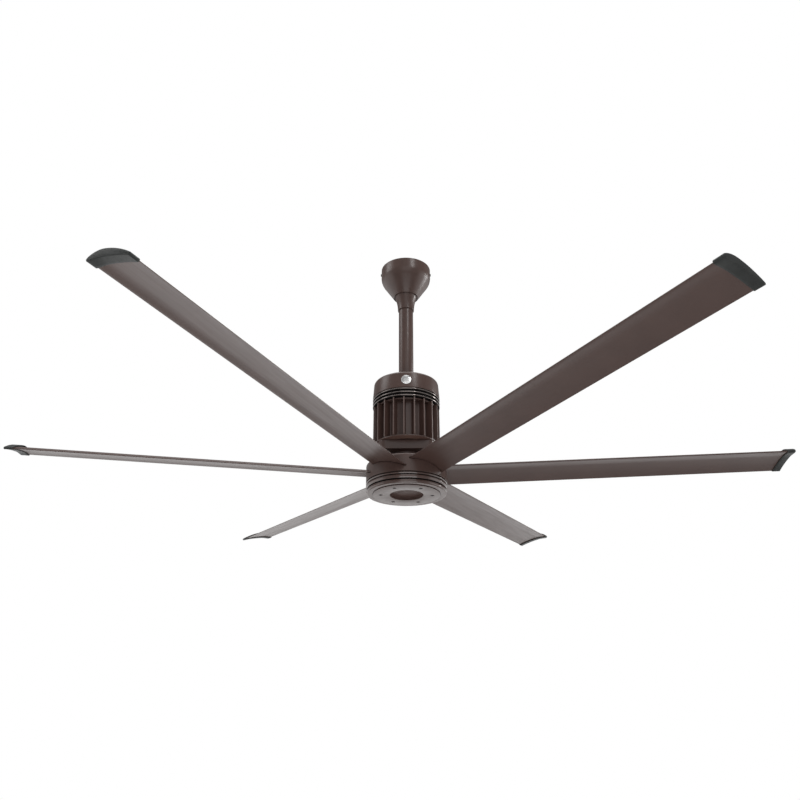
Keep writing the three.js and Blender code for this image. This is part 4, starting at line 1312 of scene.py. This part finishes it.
@dataclass
class Hub:
    """Hub drum with its blade slots, lower ring, bottom plate, screws and centre cap."""

    shape: BladeShape
    radius: float = 110.0
    boss: float = 76.0
    neck: float = 16.8
    step: float = 44.0
    edge: float = 6.0
    wall: float = 4.0
    rebate: float = 1.3
    side_steps: int = 8
    slot_gap: float = 1.3
    slot_span: Point2 = (86.0, 122.0)
    groove_depth: float = 5.5
    seam: float = 1.6
    land_slope: float = 0.54
    land_lean: float = -0.8
    land_margin: float = 0.05
    grooves: tuple[Corner, Corner] = ((6.85, 3.1, 2.6), (18.9, 4.2, 4.6))
    ring_wall: float = 8.0
    flange_bore: float = 62.0
    flange_gap: float = 0.3
    flange_height: float = 5.0
    dome_inner: float = 91.5
    dome_inset: float = 1.4
    face_rise: float = 1.6
    face_chamfer: Point2 = (2.2, 4.0)
    plate_gap: float = 0.4
    plate_thickness: float = 3.0
    opening: float = 45.35
    edge_margin: float = 2.0
    screws: int = 6
    screw_circle: float = 69.5
    screw_head: float = 3.8
    screw_sunk: float = 0.8
    head_steps: Point2 = (0.8, 1.1)
    screw_length: float = 9.0
    shank: float = 2.2
    socket: float = 1.9
    socket_floor: float = 1.8
    sink_gap: float = 1.2
    sink_bevel: float = 1.1
    sink_edge: float = 0.4
    sink_depth: float = 2.0
    recess: float = 9.0
    cap_gap: float = 0.3
    cap_wall: float = 2.5
    cap_brim: float = 8.5
    cap_sheet: float = 1.25

    def build(self) -> None:
        """Builds the rotor's housings and dresses what turns inside the motor."""
        self.drum()
        self.lower_ring()
        self.plate()
        for index in range(self.screws):
            self.screw(index)
        self.centre_cap()
        wear(BEARING_METAL, "upper_bearing_inner", "lower_bearing_inner")
        wear(LAMINATION_METAL, "rotor_core")
        wear(MAGNET_METAL, "magnet_ring")
        wear(ZINC, "motor_shaft", "shaft_nut")
        wear(CASTING_METAL, "blade_carrier")

    def drum(self) -> None:
        """Builds the drum and cuts an aerofoil slot for each blade into it."""
        bottom, high = limits("hub_drum")
        top, seam = high - self.shape.boss_height, bottom + self.rebate
        outer, boss, wall = self.radius, self.boss, self.wall
        below, ceiling, deep = top - wall, high - wall, outer - self.groove_depth
        shell = filleted([
            (outer, seam, 0.5), (outer, top, self.edge), (boss, top, 1.5), (boss, high, 0.6),
            (self.neck, high, 0.5), (self.neck, below, 0), (self.step, below, 0), (self.step, ceiling, 0),
            (boss - wall, ceiling, 0), (boss - wall, below, 0), (outer - wall, below, 1.5),
            (outer - wall, bottom, 0.3), (deep, bottom, 0.2), (deep, seam, 0.2)], steps=8)
        widest = max(r for r, z in shell)
        split = next(i for i, (r, z) in enumerate(shell) if r == widest and z > bottom + self.edge_margin)
        lowest = shell[split - 1][1] + NEAR
        side = [(outer, z) for z in evenly(bottom, top - self.edge, self.side_steps)[1:-1] if z > lowest]
        drum = turned("hub_drum_shell", shell[:split] + side + shell[split:], segments=192)
        shape, tools = self.shape, []
        for index in range(shape.count):
            sections = [shape.section(index, along, self.slot_gap, shape.crown) for along in self.slot_span]
            tools.append(lofted(f"slot_tool_{index}", sections))
        dress(carved(drum, tools), Body.ROTOR, HOUSING_PAINT, "hub_drum")
        # Faces in the rebate at the drum's foot take near-black painted shade along the seam
        recoat(drum, PAINTED_GROOVE_SHADE, lambda radius, height, lean:
               height < seam + CLOSE and radius < outer - NEAR)

    def lower_ring(self) -> None:
        """Builds the ring with its two grooves, polished lands over them and a flat face round the plate."""
        bottom, top = limits("lower_ring")
        outer, deep, back = self.radius, self.radius - self.groove_depth, self.radius - self.ring_wall
        dome, inner, face = outer - self.dome_inset, self.dome_inner, bottom + self.face_rise
        flange = bottom + self.plate_thickness + self.flange_gap
        across, up = self.face_chamfer
        corners: list[Corner] = [(back, top, 0.4), (deep, top, 0.2), (deep, top - self.seam, 0.2),
                                 (outer, top - self.seam, 0.5)]
        for (drop, height, rise), below in zip(self.grooves, (outer, dome)):
            upper, lower = top - drop + height / 2, top - drop - height / 2
            corners += [(outer, upper + rise, 2 * rise), (outer - self.land_slope * rise, upper, 0.3),
                        (deep, upper, 0.1), (deep, lower, 0.2), (below, lower, 0.5)]
        bore, step = self.flange_bore, flange + self.flange_height
        corners += [(dome, face + up, 6.0), (dome - across, face, 3.0), (inner, face, 0.3),
                    (inner, flange, 0.2), (bore, flange, 0.4), (bore, step, 0.4), (back, step, 1)]
        ring = lathed("lower_ring_turned", corners, steps=6, segments=192)
        dress(ring, Body.ROTOR, HOUSING_PAINT, "lower_ring")
        drop, height, rise = self.grooves[-1]
        inside, lowest = outer - self.land_slope * rise, top - drop - height
        recoat(ring, LAND_PAINT, lambda radius, height, lean:
               self.land_lean < lean < UPRIGHT and radius > inside)
        # The grooves, the seam at the top and everything inside the flat face take near-black painted shade
        recoat(ring, PAINTED_GROOVE_SHADE, lambda radius, height, lean:
               radius < inner + CLOSE or (radius < inside - self.land_margin and height > lowest))

    def plate(self) -> None:
        """Builds the bottom plate with a broken edge and countersunk screw holes."""
        bottom = limits("lower_ring")[0]
        top, floor = bottom + self.plate_thickness, bottom + self.sink_depth
        outer, sink = self.dome_inner - self.plate_gap, self.screw_head + self.sink_gap
        plate = lathed("bottom_plate_turned", [
            (self.opening, bottom, 0.7), (outer, bottom, 0.5), (outer, top, 0.2), (self.opening, top, 0.3)],
            steps=4, segments=144)
        outline = [(0, bottom - OVERRUN), (sink + self.sink_bevel, bottom - OVERRUN),
                   (sink, bottom + self.sink_edge), (sink, floor), (0, floor)]
        tools = []
        for index in range(self.screws):
            tool = turned(f"sink_tool_{index}", outline, segments=28)
            tool.data.transform(shifted(*self.screw_place(index)))
            tools.append(tool)
        dress(carved(plate, tools), Body.ROTOR, HOUSING_PAINT, "bottom_plate")
        # Faces inside the plate's thickness, at its outer edge and in the screw sinks, take near-black
        # painted shade
        recoat(plate, PAINTED_GROOVE_SHADE, lambda radius, height, lean:
               bottom + NEAR < height < top - CLOSE / 2 and radius > self.opening + self.edge_margin)

    def screw_place(self, index: int) -> Point2:
        """Gives a plate screw's place."""
        angle = radians(self.shape.turn) + 2 * pi * index / self.screws
        return self.screw_circle * cos(angle), self.screw_circle * sin(angle)

    def screw(self, index: int) -> None:
        """Builds one countersunk plate screw with a six-sided socket.

        Args:
            index: Number of the screw, from 0.
        """
        bottom, name = limits("lower_ring")[0], f"plate_screw_{index + 1}"
        head, shank, hole = self.screw_head, self.shank, self.socket
        face, end, floor = bottom + self.screw_sunk, bottom + self.screw_length, bottom + self.socket_floor
        thick, cone = self.head_steps
        made = lathed(name + "_socket_head", [
            (0, face, 0), (head, face, 0.5), (head, face + thick, 0), (shank, face + cone, 0),
            (shank, end, 0.5), (0, end, 0)], steps=3, segments=28)
        tool = [(0, bottom - OVERRUN), (hole, bottom - OVERRUN), (hole, floor), (0, floor)]
        carved(made, [turned("socket_tool", tool, segments=6)])
        made.data.transform(shifted(*self.screw_place(index)))
        dress(made, Body.ROTOR, SCREW_METAL, name)

    def centre_cap(self) -> None:
        """Builds the hat-shaped cap that closes the plate's opening from above."""
        low, high = limits("centre_cap")
        inner, ceiling = self.opening + self.cap_gap, limits("lower_ring")[0] + self.recess
        outer, brim, sheet = inner + self.cap_wall, inner + self.cap_brim, low + self.cap_sheet
        cap = lathed("centre_cap_pressing", [
            (0, ceiling, 0), (inner, ceiling, 1.5), (inner, low, 0.2), (brim, low, 0.3), (brim, sheet, 0.3),
            (outer, sheet, 0.5), (outer, high, 1.5), (0, high, 0)], steps=5, segments=96)
        dress(cap, Body.ROTOR, RECESS_PAINT, "centre_cap")


# Floor, light and camera

def shine(ramp: bpy.types.Node, steps: Sequence[Point2]) -> None:
    """Fills a ramp with greys.

    Args:
        ramp: The ramp's node.
        steps: Places on the ramp with the brightness at each, in order.
    """
    stops = ramp.color_ramp.elements
    for number, (place, bright) in enumerate(steps):
        stop = stops.new(place) if 0 < number < len(steps) - 1 else stops[-1 if number else 0]
        stop.position = place
        stop.color = (bright, bright, bright, 1)


@dataclass(frozen=True)
class Softbox:
    """A soft rectangular light that faces the hub.

    Its azimuth counts in degrees from the front to the right, its elevation in degrees from the hub's level.
    """

    name: str
    azimuth: float
    elevation: float
    width: float
    height: float
    power: float
    distance: float = 3.2
    hub: Corner = (0.0, 0.0, -0.55)

    def build(self) -> None:
        """Places the light."""
        data = bpy.data.lights.new(self.name, "AREA")
        data.shape, data.size, data.size_y, data.energy = "RECTANGLE", self.width, self.height, self.power
        lamp = added(self.name, data)
        side, up = radians(self.azimuth), radians(self.elevation)
        away = Vector((sin(side) * cos(up), -cos(side) * cos(up), sin(up)))
        lamp.location = Vector(self.hub) + away * self.distance
        lamp.rotation_euler = away.to_track_quat("Z", "Y").to_euler()


@dataclass
class Studio:
    """Pale floor, soft lights and the photograph's camera, in metres, degrees and watts."""

    floor_drop: float = 4.0
    floor_radius: float = 6.0
    floor_grain_mm: float = 900.0
    floor_greys: Point2 = (0.8, 0.83)
    floor_roughness: float = 0.7
    overhead_size: float = 5.0
    overhead_power: float = 150.0
    overhead_height: float = 3.2
    eye: Corner = (0.0, -2.0062, -1.3477)
    pitch: float = 24.486
    yaw: float = 0.507
    lens: float = 34.896
    sensor: float = 36.0
    sight: float = 100.0
    front_edge: Point2 = (-0.42, -0.3)
    room: tuple[Point2, ...] = ((0.2, 0.6), (0.3, 1.3), (0.42, 1.4), (0.52, 1.22), (0.63, 0.5), (0.75, 0.22))
    front: tuple[Point2, ...] = ((0.2, 0.25), (0.33, 0.35), (0.45, 0.4), (0.52, 0.4), (0.6, 0.36), (0.7, 0.4),
                                 (0.8, 0.25))
    lights: tuple[Softbox, ...] = (
        Softbox("left_softbox", -84, 38, 1.3, 1.2, 14),
        Softbox("front_softbox", 31, 40, 0.4, 0.9, 14, distance=3.4),
        Softbox("right_softbox", 107, 12, 0.6, 1.4, 30),
        Softbox("low_front_softbox", 5, -42, 2.4, 1.4, 18),
        Softbox("front_panel", 5, 14, 2.4, 2.4, 9.5),
    )

    def build(self) -> None:
        """Builds the studio."""
        self.floor()
        self.world()
        for light in self.lights:
            light.build()
        self.overhead()
        self.camera()

    def floor(self) -> None:
        """Lays a round pale floor far below the fan."""
        mesh = bpy.data.meshes.new("studio_floor")
        work = bmesh.new()
        bmesh.ops.create_circle(work, cap_ends=True, radius=self.floor_radius, segments=96)
        work.to_mesh(mesh)
        work.free()
        floor = added("studio_floor", mesh)
        floor.location.z = -self.floor_drop
        shader = Shader("pale_floor", self.floor_roughness)
        dark, light = ([grey] * 3 for grey in self.floor_greys)
        shader.tint(shader.noise(self.floor_grain_mm), dark, light)
        mesh.materials.append(shader.material)

    def world(self) -> None:
        """Lights the room from the sides and from behind, less from above and little from the low front.

        The camera itself sees plain white.
        """
        world = bpy.data.worlds.new("studio_world")
        bpy.context.scene.world = world
        world.use_nodes = True
        tree = world.node_tree
        nodes = {name: tree.nodes.new("ShaderNode" + kind) for name, kind in (
            ("place", "TexCoord"), ("split", "SeparateXYZ"), ("level", "MapRange"), ("nearness", "MapRange"),
            ("room", "ValToRGB"), ("front", "ValToRGB"), ("sides", "Mix"), ("path", "LightPath"),
            ("seen", "Mix"))}
        nodes["output"] = tree.nodes["Background"]
        # A Mix of colours takes its factor at 0 and the colours at 6 and 7, and gives its result at 2
        nodes["sides"].data_type = nodes["seen"].data_type = "RGBA"
        for source, result, target, entry in (
                ("place", "Generated", "split", 0), ("split", "Z", "level", "Value"),
                ("split", "Y", "nearness", "Value"), ("level", "Result", "room", "Fac"),
                ("level", "Result", "front", "Fac"), ("nearness", "Result", "sides", 0),
                ("front", "Color", "sides", 6), ("room", "Color", "sides", 7),
                ("path", "Is Camera Ray", "seen", 0), ("sides", 2, "seen", 6),
                ("seen", 2, "output", "Color")):
            tree.links.new(nodes[source].outputs[result], nodes[target].inputs[entry])
        nodes["level"].inputs["From Min"].default_value = -1
        for entry, value in zip(("From Min", "From Max"), self.front_edge):
            nodes["nearness"].inputs[entry].default_value = value
        shine(nodes["room"], self.room)
        shine(nodes["front"], self.front)
        nodes["seen"].inputs[7].default_value = (1, 1, 1, 1)

    def overhead(self) -> None:
        """Hangs a wide soft light over the fan, which also lights the floor."""
        data = bpy.data.lights.new("overhead_softbox", "AREA")
        data.shape, data.size, data.energy = "DISK", self.overhead_size, self.overhead_power
        added("overhead_softbox", data).location.z = self.overhead_height

    def camera(self) -> None:
        """Sets the camera where the photograph was taken from."""
        data = bpy.data.cameras.new("photo_camera")
        data.lens, data.sensor_width, data.clip_end = self.lens, self.sensor, self.sight
        camera = added("photo_camera", data)
        camera.location = self.eye
        camera.rotation_euler = (radians(90 + self.pitch), 0, radians(self.yaw))
        bpy.context.scene.camera = camera


def main() -> None:
    """Builds the studio and the fan's sub-assemblies in order."""
    logging.basicConfig(level=logging.INFO, format="%(name)s: %(message)s")
    bpy.context.scene.view_settings.view_transform = "Standard"
    Studio().build()
    shape = BladeShape()
    for assembly in (CeilingMount(), Suspension(), MotorBody(), Blades(shape), Hub(shape)):
        log.info("building %s", type(assembly).__name__)
        assembly.build()


if __name__ == "__main__":
    main()
